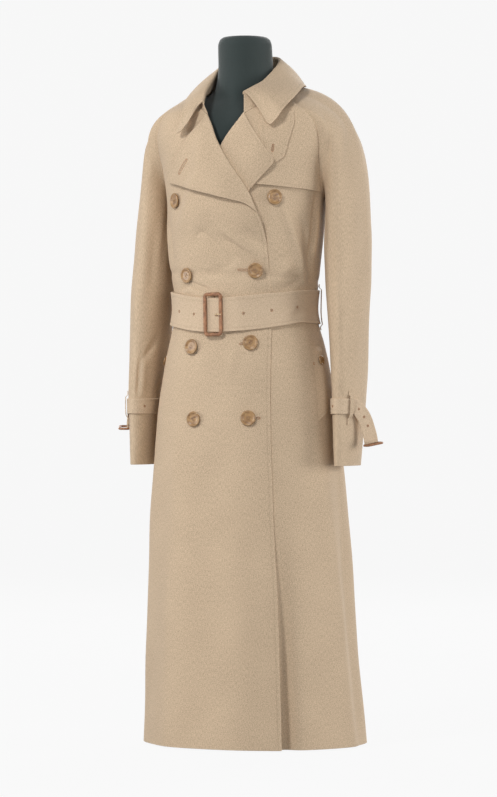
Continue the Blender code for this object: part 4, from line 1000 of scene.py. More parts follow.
left_roll_table = smooth_curves(LEFT_ROLL)


def lapel_grids(side, roll, low_height, tip, curl, under, lift, top_of_front):
    """Outer and inner grids of a lapel: a half turn at the roll, then out to its tip."""
    along = edged(46, (0.0, 0.01, 0.03))[:, None]
    spine_height = LAPEL_TOP_HEIGHT + (low_height - LAPEL_TOP_HEIGHT) * along
    spine_across = roll(spine_height)
    out = np.concatenate([np.linspace(0.015, 0.93, 42), [0.955, 0.97]])[None, :]
    corner = 1 - 0.035 * np.exp(-(((along - 1) / 0.07) ** 2)) - 0.02 * np.exp(-((along / 0.07) ** 2))
    out = out * corner
    near = 1 - (1 - np.minimum(out / LAPEL_CURL_REACH, 1.0)) ** 2
    across = spine_across + (tip[0] - spine_across) * out
    height = spine_height + (tip[1] - spine_height) * (out + curl * along**6 * (near - out))
    turn = turn_of(side * across, height)
    belly = LAPEL_BELLY * np.sin(math.pi * out) * np.sin(2.2 * along + 0.4)
    top, start, end, kept = lift
    raised = top * ease(out, start, end) * (1 - (1 - kept) * ease(out, 0.55, 1.0))
    base = under(turn, height) + raised + belly
    flat_outer, normals = on_body(turn, height, base + CLOTH)
    flat_inner = flat_outer - normals * CLOTH
    roll_turn = turn_of(side * spine_across, spine_height)[:, 0]
    level = spine_height[:, 0]
    front = top_of_front(roll_turn, level)
    below = front - CLOTH
    above = base[:, 0] + CLOTH
    centre, normals = on_body(roll_turn, level, (above + below) / 2)
    radius = (above - below) / 2
    away = unit(centre - (flat_outer[:, 3] + flat_inner[:, 3]) / 2)
    away = unit(away - normals * np.sum(away * normals, axis=-1, keepdims=True))
    bent_outer, bent_inner = [], []
    for angle in np.linspace(-math.pi / 2, math.pi / 2, ROLL_STEPS + 1)[:-1]:
        way = away * math.cos(angle) + normals * math.sin(angle)
        bent_outer.append(centre + way * radius[:, None])
        bent_inner.append(centre + way * (radius[:, None] - CLOTH))
    bends = (np.stack(bent_outer, axis=1), np.stack(bent_inner, axis=1))
    return [np.concatenate(pair, axis=1) for pair in zip(bends, (flat_outer, flat_inner))]


def over_right_front(turn, height):
    """What the right lapel lies on; the next is what the left one lies on."""
    return right_front_top(turn, height) + LAPEL_GAP


def over_flap(turn, height):
    return FLAP_TOP + CHEST_GAP + 0 * turn


def right_roll(height):
    return -edge_table(height)[..., 0]


def left_roll(height):
    return left_roll_table(height)[..., 0]


right = (right_roll, LAPEL_LOW_RIGHT, LAPEL_TIP_RIGHT, LAPEL_CURL, over_right_front, LAPEL_LIFT_RIGHT)
left = (left_roll, LAPEL_LOW_LEFT, LAPEL_TIP_LEFT, 0.0, over_flap, LAPEL_LIFT_LEFT)
lapels = (("right", -1, *right, right_front_top), ("left", 1, *left, left_front_top))
for name, *facts in lapels:
    outer, inner = lapel_grids(*facts)
    lapel = cloth_piece("lapel_" + name + "_cloth", outer, inner, cotton, "btr")
    topstitch(outer[:, ROLL_STEPS:], "btr")
    fixed(lapel, "lapel_" + name)
    "front_panel_" + name

# ---- storm flap and latch
# A loose double flap over the wearer's left chest, caught in the raglan seam, and the
# short throat latch that hangs unbuttoned from under the collar.

# The flap's inner edge: height, and distance across. The latch's two edges: the same.
FLAP_EDGE = (
    (1.016, 0.050),
    (1.100, 0.052),
    (1.150, 0.060),
    (1.180, 0.074),
)
LATCH_EDGES = (
    (1.069, 0.0920, 0.0985),
    (1.075, 0.0840, 0.1060),
    (1.084, 0.0785, 0.1115),
    (1.100, 0.0730, 0.1150),
    (1.122, 0.0700, 0.1200),
    (1.142, 0.0695, 0.1235),
    (1.160, 0.0710, 0.1200),
)
FLAP_LOW = 1.030
FLAP_RISE = 0.150
FLAP_SLANT = 0.013
FLAP_INSET_TURN = 0.006
FLAP_RIPPLE = 0.0016
FLAP_STAND_OFF = 0.0022
FLAP_SEAM_SINK = 0.0016
LATCH_LOW = 1.069
LATCH_RISE = 0.091

rows = edged(34, (0.0, 0.006, 0.025))[:, None]
share = edged(32, (0.0, 0.01, 0.03))[None, :]
height = FLAP_LOW - FLAP_SLANT * share + (FLAP_RISE + FLAP_SLANT * share) * rows
start = turn_of(smooth_curves(FLAP_EDGE)(height)[..., 0], height)
end = raglan_turn(height, front_raglan_table) - FLAP_INSET_TURN
turn = start + (end - start) * share
ripple = FLAP_RIPPLE * (1 - ease(rows, 0.0, 0.35)) * np.sin(9 * share + 0.6) * ease(share, 0.02, 0.2)
stand_off = FLAP_STAND_OFF * (1 - ease(rows, 0.0, 0.22)) * (1 - ease(share, 0.90, 1.0))
offset = FLAP_TOP - FLAP_SEAM_SINK * ease(share, 0.90, 1.0) + ripple * (ripple > 0) + stand_off
outer, normals = on_body(turn, height, offset + 0 * turn)
flap = cloth_piece("storm_flap_cloth", outer, thinned(outer, normals), cotton, "bl")
topstitch(outer, "bl")
fixed(flap, "storm_flap")

share = edged(14, (0.0, 0.03, 0.08))[None, :]
height = LATCH_LOW + LATCH_RISE * edged(26, (0.0, 0.02, 0.05))[:, None] + 0 * share
edges = smooth_curves(LATCH_EDGES)(height)
turn = turn_of(edges[..., 0] + (edges[..., 1] - edges[..., 0]) * share, height)
outer, normals = on_body(turn, height, FLAP_TOP + CHEST_GAP + CLOTH + 0 * turn)
latch = cloth_piece("throat_latch_cloth", outer, thinned(outer, normals), cotton, "blr")
topstitch(outer, "lr", inset=0.004)
fixed(latch, "throat_latch")

# ---- collar
# A stand round the neck and a broad leaf that folds over it, worn open. Both are double
# cloth; the leaf is rolled at its fold, stitched near its edge and rounded at its points.

# From the wearer's right end (-1) round the nape to the left (1): the line where the
# collar folds over, then the leaf's edge, each as x, y and z.
COLLAR = (
    (-1.00, -0.0490, -0.112, 1.184, -0.0980, -0.121, 1.116),
    (-0.90, -0.0530, -0.093, 1.199, -0.0887, -0.119, 1.152),
    (-0.78, -0.0570, -0.066, 1.217, -0.0950, -0.078, 1.191),
    (-0.60, -0.0590, -0.015, 1.249, -0.1060, 0.004, 1.214),
    (-0.40, -0.0520, 0.022, 1.268, -0.0920, 0.048, 1.217),
    (-0.20, -0.0300, 0.046, 1.275, -0.0500, 0.081, 1.209),
    (0.00, 0.0000, 0.052, 1.276, 0.0000, 0.090, 1.206),
    (0.20, 0.0300, 0.046, 1.275, 0.0500, 0.081, 1.209),
    (0.40, 0.0520, 0.022, 1.268, 0.0920, 0.048, 1.217),
    (0.60, 0.0585, -0.015, 1.250, 0.1090, 0.004, 1.216),
    (0.78, 0.0530, -0.065, 1.222, 0.1170, -0.070, 1.191),
    (0.90, 0.0440, -0.093, 1.210, 0.1084, -0.122, 1.159),
    (1.00, 0.0330, -0.110, 1.200, 0.0890, -0.130, 1.132),
)
STAND_TOP_DROP = 0.0030
LEAF_STITCH_INSET = 0.0075
LEAF_CROWN = (0.003, 0.008)
LEAF_END_BOW = (0.016, -0.018, 0.0)
LEAF_TIP_LIFT = (0.001, -0.008, 0.003)
LEAF_END_REACH = 0.08
LEAF_BOW_PEAK = 6.75
LEAF_WAVE = 0.0010
LEAF_RIPPLE = 0.0011
POINT_ROUND = (0.022, 0.10)
# The leaf's turn over the stand: how far in and below the fold line each row is, and
# the way, in and down, that its inner face lies.
LEAF_TUCK = (
    (0.0036, 0.0060, 1.0, 0.0),
    (0.0036, 0.0034, 1.0, 0.0),
    (0.0030, 0.0014, 0.8, -0.6),
    (0.0016, 0.0002, 0.4, -0.9),
)
UP = np.array([0.0, 0.0, 1.0])

collar_table = smooth_curves(COLLAR)


def resampled(path, count):
    """A path with evenly spaced points."""
    far = lengths_along(path, 0)
    even = np.linspace(0, far[-1], count)
    return np.stack([np.interp(even, far, path[:, axis]) for axis in range(3)], axis=1)


def neckline(count):
    """The neckline from the wearer's right round the nape to the left, evenly spaced."""
    notches = np.linspace(COLLAR_END_HEIGHT, PANEL_TOP_HEIGHT, 12)
    raglan_front = math.radians(front_raglan_table(PANEL_TOP_HEIGHT)[0])
    raglan_back = math.radians(back_raglan_table(BACK_TOP_HEIGHT)[0])
    across_back = np.linspace(1, 0, 16)[1:]
    turns = np.concatenate([
        -edge_turn(notches + 1e-6),
        [raglan_front, math.radians(OVERARM_TURN), raglan_back],
        math.pi + (raglan_back - math.pi) * across_back,
    ])
    heights = np.concatenate([
        notches,
        [PANEL_TOP_HEIGHT, OVERARM_HEIGHT, BACK_TOP_HEIGHT],
        BACK_TOP_HEIGHT + NAPE_RISE * (1 - across_back**2),
    ])
    left = body_points(turns, heights)
    return resampled(np.concatenate([left * np.array([-1.0, 1.0, 1.0]), left[-2::-1]]), count)


base = neckline(150)
collar_share = np.linspace(-1, 1, len(base))
fold_line = collar_table(collar_share)[:, :3]
leaf_edge = collar_table(collar_share)[:, 3:]
away = unit((leaf_edge - fold_line) * np.array([1.0, 1.0, 0.0]))


def towards_normals(points, towards):
    """Normals of a grid of points, all on the side that is given."""
    normals = unit(np.cross(np.gradient(points, axis=0), np.gradient(points, axis=1)) + 1e-12)
    facing = np.sum(normals * towards, axis=-1, keepdims=True)
    return normals * np.where(facing < 0, -1.0, 1.0)


foot = base + UP * 2 * LAYER_GAP - away * LAYER_GAP
top = fold_line - UP * STAND_TOP_DROP
rise = np.concatenate([[0.0, 0.02], np.linspace(0.08, 1.0, 12)])[:, None, None]
stand_outer = foot[None] * (1 - rise) + top[None] * rise
normals = towards_normals(stand_outer, np.broadcast_to(away[None], stand_outer.shape))
stand = cloth_piece("collar_stand_cloth", stand_outer, thinned(stand_outer, normals), cotton, "btlr")
fixed(stand, "collar_stand")

fall = np.concatenate([np.linspace(0.0, 0.94, 26), [0.97, 0.99, 1.0]])[:, None]
near_end = 1 - np.abs(collar_share)
round_in = np.clip(1 - near_end / POINT_ROUND[0], 0, 1)
drop_limit = 1 - POINT_ROUND[1] * (1 - np.sqrt(1 - round_in**2))
fall = fall * drop_limit[None, :]
leaf_edge = leaf_edge + UP * (LEAF_WAVE * np.sin(19 * collar_share + 0.7))[:, None]
leaf_out, leaf_up = LEAF_CROWN
crown = (fold_line + leaf_edge) / 2 + away * leaf_out + UP * leaf_up
right_end = np.exp(-(((1 + collar_share) / LEAF_END_REACH) ** 2))
fall = fall[..., None]
leaf = fold_line[None] * (1 - fall) ** 2 + crown[None] * 2 * fall * (1 - fall) + leaf_edge[None] * fall**2
leaf = leaf + LEAF_BOW_PEAK * fall**2 * (1 - fall) * right_end[:, None] * np.array(LEAF_END_BOW)
leaf = leaf + fall**3 * right_end[:, None] * np.array(LEAF_TIP_LIFT)
facing = np.broadcast_to(away[None] * 0.5 + UP, leaf.shape)
normals = towards_normals(leaf, facing)
ripple = LEAF_RIPPLE * np.sin(13 * collar_share + 4.0 * fall[..., 0] + 0.8) * fall[..., 0]
leaf = leaf + normals * ripple[..., None]
leaf_inner = leaf - normals * CLOTH
tucked_outer, tucked_inner = [], []
for inward, below, turn_in, turn_down in LEAF_TUCK:
    spot = fold_line - away * inward - UP * below
    tucked_outer.append(spot)
    tucked_inner.append(spot + (away * turn_in + UP * turn_down) * CLOTH)
leaf = np.concatenate([np.array(tucked_outer), leaf])
leaf_inner = np.concatenate([np.array(tucked_inner), leaf_inner])
collar = cloth_piece("collar_leaf_cloth", leaf, leaf_inner, cotton, "tlr")
topstitch(leaf[len(LEAF_TUCK) :], "tlr", inset=LEAF_STITCH_INSET, trim=LEAF_STITCH_INSET)
fixed(collar, "collar_leaf")

# ---- belt
# A stiffened belt of double gabardine, wrapped once round the waist and on past its own
# start, with worked eyelets. Its end lies over the first turn on the wearer's right.

BELT_THICKNESS = 0.0024
BELT_LAYER = 0.0016
BELT_TURNS = (-10.5, -472.0)
BELT_CLIMB = (-332.0, -347.0)

# Slight lifts of the belt's edges where it is pulled: turn in degrees, upper, lower.
BELT_EDGES = (
    (-180, 0.0000, 0.0000),
    (-75, 0.0000, 0.0000),
    (-46, 0.0006, 0.0010),
    (-26, -0.0010, -0.0012),
    (-8, -0.0012, -0.0006),
    (14, 0.0006, 0.0002),
    (34, 0.0012, 0.0006),
    (52, 0.0004, 0.0022),
    (66, 0.0000, 0.0040),
    (80, -0.0006, 0.0012),
    (100, 0.0000, 0.0000),
    (180, 0.0000, 0.0000),
)
BELT_FOLDS = (
    (50, 0.783, 66, 0.817, 0.0010, 0.0060, 0.0010),
    (57, 0.782, 74, 0.812, 0.0010, 0.0060, -0.0008),
    (-150, 0.780, -138, 0.834, 0.0020, 0.0070, -0.0008),
    (128, 0.836, 140, 0.782, 0.0020, 0.0080, 0.0009),
)


belt_edge_table = smooth_curves(BELT_EDGES)


def under_belt(turn):
    """The offset of the cloth that the belt lies on, smoothed over the front's edge."""
    turn = within_turn(turn)
    height = belt_height(turn)
    across = body_points(turn, height)[..., 0]
    reach = edge_table(height)[..., 0]
    left = 1 - ease(across, reach + 0.004, reach + 0.030)
    right = ease(across, -reach - OVERLAP_FADE, -reach)
    return np.where(np.cos(turn) > 0, SKIRT_FRONT_TOP * left * right, 0.0)


def belt_offset(turn):
    """How far out the belt's inner face is; its second turn lies over its first."""
    climb = ease(-turn, *(-math.radians(edge) for edge in BELT_CLIMB))
    return under_belt(turn) + BELT_LAYER + climb * (BELT_THICKNESS + LAYER_GAP)


def belt_face(turn, level, out=0.0):
    """A point on the belt: level is -0.5 at its lower edge and 0.5 at its upper."""
    turn, level = np.broadcast_arrays(np.asarray(turn, float), np.asarray(level, float))
    wrapped = within_turn(turn)
    lifts = belt_edge_table(np.degrees(wrapped))
    lift = lifts[..., 1] + (lifts[..., 0] - lifts[..., 1]) * (level + 0.5)
    height = belt_height(turn) + BELT_HEIGHT * level + lift
    normals = body_normals(turn, height)
    rise = belt_offset(turn) + BELT_THICKNESS + out + turned_folds(BELT_FOLDS, wrapped, height)
    return body_points(turn, height) + normals * rise[..., None], normals


level = np.concatenate([[-0.5, -0.485, -0.45], np.linspace(-0.4, 0.4, 8), [0.45, 0.485, 0.5]])
turn = np.radians(np.linspace(*BELT_TURNS, 420))[None, :]
outer, normals = belt_face(turn, level[:, None])
# The belt and straps take a lighter copy of the coat's gabardine: painted light, standing in for the light
# the belt catches.
belt_cloth = cotton_finish("belt_gabardine", (0.705, 0.545, 0.385, 1), (0.460, 0.340, 0.228, 1))
belt = cloth_piece("belt_cloth", outer, thinned(outer, normals, BELT_THICKNESS), belt_cloth, "bt")
topstitch(outer, "bt", inset=0.0055, trim=0.003)
fixed(belt, "belt")

# ---- belt buckle
# A rectangular frame with round corners, covered in tan leather that is stitched on its
# inside, with a hidden middle bar and a short brass prong that lies on the right side.

BUCKLE_WIDTH = 0.038
BUCKLE_HEIGHT = 0.080
BUCKLE_BAR = 0.0066
BUCKLE_DEPTH = 0.0048
BUCKLE_X = -0.014
BUCKLE_LEAN_DEGREES = 1.5
BUCKLE_SEAT = 0.4
PRONG_RADIUS = 0.0011
BAR_RADIUS = 0.0013
BAR_CLEARANCE = 0.0018
BAR_RISE = 0.002
FRAME_SQUARENESS = 2.6


def leather_finish():
    finish = Finish("tan_leather", {"Specular IOR Level": 0.45, "Sheen Weight": 0.05})
    place = finish.place()
    pores = finish.noise(place, 1500.0, 2.0)
    cloud = finish.noise(place, 160.0, 3.0)
    settings = {"feature": "DISTANCE_TO_EDGE"}
    cells = finish.node("ShaderNodeTexVoronoi", settings, {"Vector": place, "Scale": 900.0})
    tone = cloud * 0.7 + pores * 0.3
    colour = finish.blend(finish.spread(tone, 0.35, 0.65), (0.200, 0.085, 0.036, 1), (0.430, 0.200, 0.090, 1))
    finish.surface(colour, 0.42 + cloud * 0.2, finish.spread(cells, 0.0, 0.25) * 0.00008 + pores * 0.00005)
    return finish.material


def brass_finish():
    finish = Finish("aged_brass", {"Metallic": 1.0})
    place = finish.place()
    tarnish = finish.noise(place, 400.0, 3.0)
    colour = finish.blend(finish.spread(tarnish, 0.4, 0.7), (0.80, 0.66, 0.42, 1), (0.38, 0.27, 0.15, 1))
    finish.surface(colour, 0.22 + tarnish * 0.25, tarnish * 0.00003)
    return finish.material


def rounded_frame(width, height, corner, steps, along=1):
    """The outline of a rectangle with round corners, as pairs of across and up."""
    outline = []
    for quarter in range(4):
        side = 1 if quarter in (0, 3) else -1
        level = 1 if quarter in (0, 1) else -1
        for step in range(steps + 1):
            angle = (quarter + step / steps) * math.pi / 2
            across = side * (width / 2 - corner) + corner * math.cos(angle)
            outline.append((across, level * (height / 2 - corner) + corner * math.sin(angle)))
        here = np.array(outline[-1])
        turn = {0: (-1, 0), 1: (0, -1), 2: (1, 0), 3: (0, 1)}[quarter]
        run = (width if turn[0] else height) - 2 * corner
        for step in range(1, along):
            outline.append(tuple(here + np.array(turn) * run * step / along))
    return np.array(outline)


def frame_mesh(width, height, bar, depth, centre, axes, steps=9, along=8, section=14):
    """A buckle's frame: a soft oval section carried round a rounded rectangle."""
    middle = rounded_frame(width - bar, height - bar, bar * 0.85, steps, along)
    following = np.roll(middle, -1, axis=0) - np.roll(middle, 1, axis=0)
    out = unit(np.stack([following[:, 1], -following[:, 0]], axis=-1))
    points = []
    power = FRAME_SQUARENESS
    for spot, way in zip(middle, out):
        for angle in round_turns(section):
            squared = (abs(math.cos(angle)) ** power + abs(math.sin(angle)) ** power) ** (-1 / power)
            flat = spot + way * math.cos(angle) * squared * bar / 2
            level = math.sin(angle) * squared * depth / 2
            points.append(centre + axes[0] * flat[0] + axes[1] * flat[1] + axes[2] * level)
    faces = []
    for ring in range(len(middle)):
        low, high = ring * section, (ring + 1) % len(middle) * section
        for index in range(section):
            after = (index + 1) % section
            faces.append((low + index, high + index, high + after, low + after))
    return np.array(points), faces


def tube_mesh(path, radius, size=10, flatten=1.0, wide=None):
    """A closed tube along a path; its last ring at each end is drawn in to a point."""
    path = np.asarray(path, dtype=float)
    way = unit(np.gradient(path, axis=0))
    side = unit(np.cross(way, wide if wide is not None else np.array([0.13, 0.2, 0.97])))
    lift = np.cross(side, way)
    radius = np.broadcast_to(np.asarray(radius, float), (len(path),)).copy()
    rings = []
    spans = [(path[0] - way[0] * radius[0] * 0.6, side[0], lift[0], radius[0] * 0.4)]
    spans += list(zip(path, side, lift, radius))
    spans += [(path[-1] + way[-1] * radius[-1] * 0.6, side[-1], lift[-1], radius[-1] * 0.4)]
    for centre, across, up_way, reach in spans:
        angle = round_turns(size)
        ring = np.cos(angle)[:, None] * across * reach + np.sin(angle)[:, None] * up_way * reach * flatten
        rings.append(centre + ring)
    return np.concatenate(rings), ring_faces(len(rings), size)


def joined(parts):
    """Several meshes as one list of points and one of faces."""
    points, faces, start = [], [], 0
    for part_points, part_faces in parts:
        points.append(part_points)
        faces += [tuple(start + index for index in face) for face in part_faces]
        start += len(part_points)
    return np.concatenate(points), faces


def righted(piece):
    """Turns all faces outwards."""
    mesh = piece.data
    work = bmesh.new()
    work.from_mesh(mesh)
    bmesh.ops.recalc_face_normals(work, faces=work.faces)
    work.to_mesh(mesh)
    work.free()
    return piece


def surface_axes(turn, height):
    """Axes on the coat's body: along it, up it and out of it."""
    out = body_normals(turn, height)
    along = unit(np.cross(UP, out))
    return along, np.cross(out, along), out


def turned_axes(axes, angle):
    """The same axes, turned about the outward one."""
    along, up_way, out = axes
    first = along * math.cos(angle) + up_way * math.sin(angle)
    return first, up_way * math.cos(angle) - along * math.sin(angle), out


leather = leather_finish()
brass = brass_finish()
height = belt_height(np.array(0.0))
turn = turn_of(np.array(BUCKLE_X), height)
axes = surface_axes(turn, height)
seat = body_points(turn, height)
belt_top = under_belt(turn) + BELT_LAYER + 2 * BELT_THICKNESS + LAYER_GAP
back_face = belt_top + 2 * LAYER_GAP
centre = seat + axes[2] * (back_face + BUCKLE_DEPTH * BUCKLE_SEAT)
leaning = turned_axes(axes, math.radians(BUCKLE_LEAN_DEGREES))
ring = frame_mesh(BUCKLE_WIDTH, BUCKLE_HEIGHT, BUCKLE_BAR, BUCKLE_DEPTH, centre, leaning)
bar_level = under_belt(turn) + BELT_LAYER + BELT_THICKNESS / 2
bar_end = back_face + BAR_RISE
reach = BUCKLE_HEIGHT / 2 - BUCKLE_BAR / 2
inside = BELT_HEIGHT / 2 + BAR_CLEARANCE
bar_course = ((-reach, bar_end), (-inside, bar_level), (inside, bar_level), (reach, bar_end))
bar_path = [seat + axes[1] * lift + axes[2] * level for lift, level in bar_course]
bar = tube_mesh(bar_path, BAR_RADIUS, 8, 0.7, axes[0])
buckle = righted(make_piece("belt_buckle_leather", *joined([ring, bar]), leather))
fixed(buckle, "belt_buckle")
seam_in = BUCKLE_BAR * 1.5
seam_up = leaning[2] * (BUCKLE_DEPTH * 0.46)
seam_ring = rounded_frame(BUCKLE_WIDTH - seam_in, BUCKLE_HEIGHT - seam_in, BUCKLE_BAR * 0.5, 5, 20)
seam_ring = [centre + leaning[0] * x + leaning[1] * y + seam_up for x, y in seam_ring]
buckle_seam = np.array(seam_ring + seam_ring[:1])

start = seat + axes[0] * 0.0040 + axes[2] * (belt_top + 0.0010)
bend = seat + axes[0] * 0.0095 + axes[2] * (back_face + BUCKLE_DEPTH * 0.85)
end = seat + axes[0] * (BUCKLE_WIDTH / 2 - 0.001) + axes[2] * (back_face + BUCKLE_DEPTH + 0.0012)
step = np.linspace(0, 1, 14)[:, None]
prong_path = start * (1 - step) ** 2 + 2 * bend * step * (1 - step) + end * step**2
prong_radius = PRONG_RADIUS * (1 - 0.35 * step[:, 0])
prong = righted(make_piece("belt_prong_brass", *tube_mesh(prong_path, prong_radius, 10, 0.8, axes[1]), brass))
fixed(prong, "belt_prong")

# ---- belt loops
# Narrow upright strips of the same cloth on the side seams, sewn down above and below
# the belt and standing a little clear of it.

BELT_LOOP_TURN = 104.5
BELT_LOOP_WIDTH = 0.012
BELT_LOOP_THICKNESS = 0.0018
BELT_LOOP_CLEARANCE = 0.0006
# Share of half the belt's height up the loop, and how far it stands out there.
LOOP_SHAPE = ((-1.36, 0), (-1.20, 0), (-1.07, 1), (0, 1.45), (1.07, 1), (1.20, 0), (1.36, 0))
LOOP_REACH = LOOP_SHAPE[-1][0]

loop_table = smooth_curves(LOOP_SHAPE)
over = BELT_LAYER + BELT_THICKNESS + 2 * LAYER_GAP
for name, side, clear in (("left", 1, over), ("right", -1, over + BELT_THICKNESS + LAYER_GAP)):
    step = edged(40, (0.0, 0.01, 0.03))[:, None] * 2 * LOOP_REACH - LOOP_REACH
    height = BELT_CENTRE + BELT_HEIGHT / 2 * step
    seat = body_points(np.array(math.radians(BELT_LOOP_TURN)), np.array(BELT_CENTRE))
    across = edged(5, (0.0, 0.06))[None, :] - 0.5
    turn = side * (math.radians(BELT_LOOP_TURN) + across * BELT_LOOP_WIDTH / math.hypot(seat[0], seat[1]))
    stood = (clear + BELT_LOOP_CLEARANCE) * loop_table(step + 0 * turn)[..., 0]
    lift = LAYER_GAP + stood + BELT_LOOP_THICKNESS
    normals = body_normals(turn, height)
    outer = body_points(turn, height + 0 * turn) + normals * lift[..., None]
    loop = cloth_piece("belt_loop_" + name + "_cloth", outer, thinned(outer, normals), cotton, "lr")
    topstitch(outer, "lr", inset=0.002, trim=0.002)
    fixed(loop, "belt_loop_" + name)

# ---- pockets
# Slanted welts of double cloth over the side pockets, stitched at their ends, each with
# a small horn button.

# Height, and the turns in degrees of the welt's front and back edges there.
WELT_ROWS = (
    (0.598, 70.0, 79.5),
    (0.645, 71.0, 82.0),
    (0.690, 72.0, 85.0),
    (0.735, 73.0, 88.0),
)
WELT_LOW = 0.598
WELT_RISE = 0.137
WELT_END_RISE = 0.018
WELT_TOP = CHEST_GAP + WALL + 0.0006

welt_table = smooth_curves(WELT_ROWS)
for name, side in SIDES:
    rows = edged(34, (0.0, 0.006, 0.02))[:, None]
    share = edged(12, (0.0, 0.02, 0.06))[None, :]
    level = WELT_LOW + WELT_RISE * rows
    columns = welt_table(level)
    turn = side * np.radians(columns[..., 0] + (columns[..., 1] - columns[..., 0]) * share)
    height = level + WELT_END_RISE * share * (1 - rows)
    fronts = right_front_top(turn, height) if side < 0 else left_front_top(turn, height)
    rise = WELT_TOP * ease(share, 0.0, 0.9) * (1 - 0.8 * ease(rows, 0.93, 1.0))
    outer, normals = on_body(turn, height, fronts + rise - 0.0002 * (1 - ease(share, 0.0, 0.12)))
    inner, _ = on_body(turn, height, fronts - 0.0010)
    welt = cloth_piece("pocket_welt_" + name + "_cloth", outer, inner, cotton, "br")
    topstitch(outer, "br", inset=0.004, trim=0.003)
    fixed(welt, "pocket_welt_" + name)
    "front_panel_" + name

# ---- buttons
# Polished brown horn with a raised rim and four holes, sewn through with dull thread.
# Eight large ones close the front in two columns; the pockets have two smaller ones.

BUTTON_RADIUS = 0.014
BUTTON_THICKNESS = 0.0045
POCKET_BUTTON_RADIUS = 0.0085
# Each column of buttons from the top down: height, turn in degrees, and lift.
LEFT_BUTTONS = (
    (1.0050, 42.50, 0.0000),
    (0.8720, 28.75, 0.0000),
    (0.7410, 24.25, 0.0002),
    (0.6045, 22.00, 0.0002),
)
RIGHT_BUTTONS = (
    (1.0020, -44.25, 0.0007),
    (0.8650, -33.75, -0.0006),
    (0.7340, -27.00, 0.0002),
    (0.6025, -23.25, 0.0002),
)
POCKET_BUTTON = (0.7085, 80.5)
POCKET_BUTTON_SHARE = 0.75
BUTTON_SIDES = 48
HOLE_SIDES = 10
HOLE_RADIUS = 0.065
HOLE_SPREAD = 0.15
HOLE_DEPTHS = (0.12, 1.4)
BUTTON_SHARP_DEGREES = 40
FIRST_SPIN, NEXT_SPIN = 12.0, 23.0
# The thread's course through two holes: share across, and share of the thickness.
THREAD_COURSE = ((-1, 0.25), (-0.9, 0.62), (-0.4, 0.70), (0.4, 0.70), (0.9, 0.62), (1, 0.25))
# Half a button's section from its underside round to its face: shares of its radius
# and of its thickness.
BUTTON_PROFILE = (
    (0.00, 0.02),
    (0.70, 0.00),
    (0.86, 0.12),
    (0.97, 0.42),
    (1.00, 0.66),
    (0.975, 0.88),
    (0.92, 1.00),
    (0.84, 0.98),
    (0.765, 0.84),
    (0.70, 0.68),
    (0.60, 0.60),
    (0.46, 0.58),
    (0.34, 0.585),
    (0.00, 0.60),
)


def horn_finish():
    finish = Finish("mottled_horn", {"Specular IOR Level": 0.45, "Coat Weight": 0.14, "Coat Roughness": 0.2})
    place = finish.place()
    drawn = finish.node("ShaderNodeMapping", {}, {"Vector": place, "Scale": (1.0, 1.0, 2.2)})
    swirl = finish.noise(drawn, 95.0, 4.0)
    streak = finish.noise(drawn, 420.0, 3.0)
    tone = swirl * 0.75 + streak * 0.25
    dark, middle, light = (0.185, 0.092, 0.034, 1), (0.345, 0.192, 0.078, 1), (0.460, 0.280, 0.120, 1)
    colour = finish.blend(finish.spread(tone, 0.34, 0.50), dark, middle)
    colour = finish.blend(finish.spread(tone, 0.48, 0.66), colour, light)
    reach = finish.node("ShaderNodeAttribute", {"attribute_name": "edge"}, {}, 2)
    colour = finish.blend(finish.spread(reach, 0.70, 0.92, 0.0, 0.40), colour, (0.330, 0.195, 0.082, 1))
    finish.surface(colour, 0.30 + streak * 0.14, streak * 0.00002)
    return finish.material


def thread_finish(name, light, dark):
    finish = Finish(name, {"Sheen Weight": 0.2, "Specular IOR Level": 0.3})
    place = finish.place()
    twist = finish.noise(place, 2600.0, 1.0)
    finish.surface(finish.blend(twist, dark, light), 0.60 + twist * 0.2, twist * 0.00005)
    return finish.material


def flat_ring(x, y, z, radius, size):
    angle = round_turns(size)
    return np.stack([x + radius * np.cos(angle), y + radius * np.sin(angle), z + 0 * angle], 1)


def plain_button():
    """One button of radius 1 and thickness 1 about +Z, with its four holes cut."""
    rings = [flat_ring(0.0, 0.0, z, radius, BUTTON_SIDES) for radius, z in BUTTON_PROFILE[1:-1]]
    drills = []
    for x, y in ((1, 1), (-1, 1), (-1, -1), (1, -1)):
        corner = (x * HOLE_SPREAD, y * HOLE_SPREAD)
        ends = [flat_ring(*corner, z, HOLE_RADIUS, HOLE_SIDES) for z in HOLE_DEPTHS]
        drills.append((np.concatenate(ends), ring_faces(2, HOLE_SIDES)))
    made = []
    for name, points, faces in (
        ("button_blank", np.concatenate(rings), ring_faces(len(rings), BUTTON_SIDES)),
        ("button_drill", *joined(drills)),
    ):
        mesh = bpy.data.meshes.new(name)
        mesh.from_pydata(points.tolist(), [], faces)
        made.append(righted(placed(name, mesh)))
    blank, drill = made
    cut = blank.modifiers.new("holes", "BOOLEAN")
    cut.operation = "DIFFERENCE"
    cut.solver = "EXACT"
    cut.object = drill
    seen = blank.evaluated_get(bpy.context.evaluated_depsgraph_get())
    mesh = bpy.data.meshes.new_from_object(seen)
    points = np.array([tuple(vertex.co) for vertex in mesh.vertices])
    faces = [tuple(face.vertices) for face in mesh.polygons]
    for used in (blank, drill):
        bpy.data.objects.remove(used, do_unlink=True)
    return points, faces


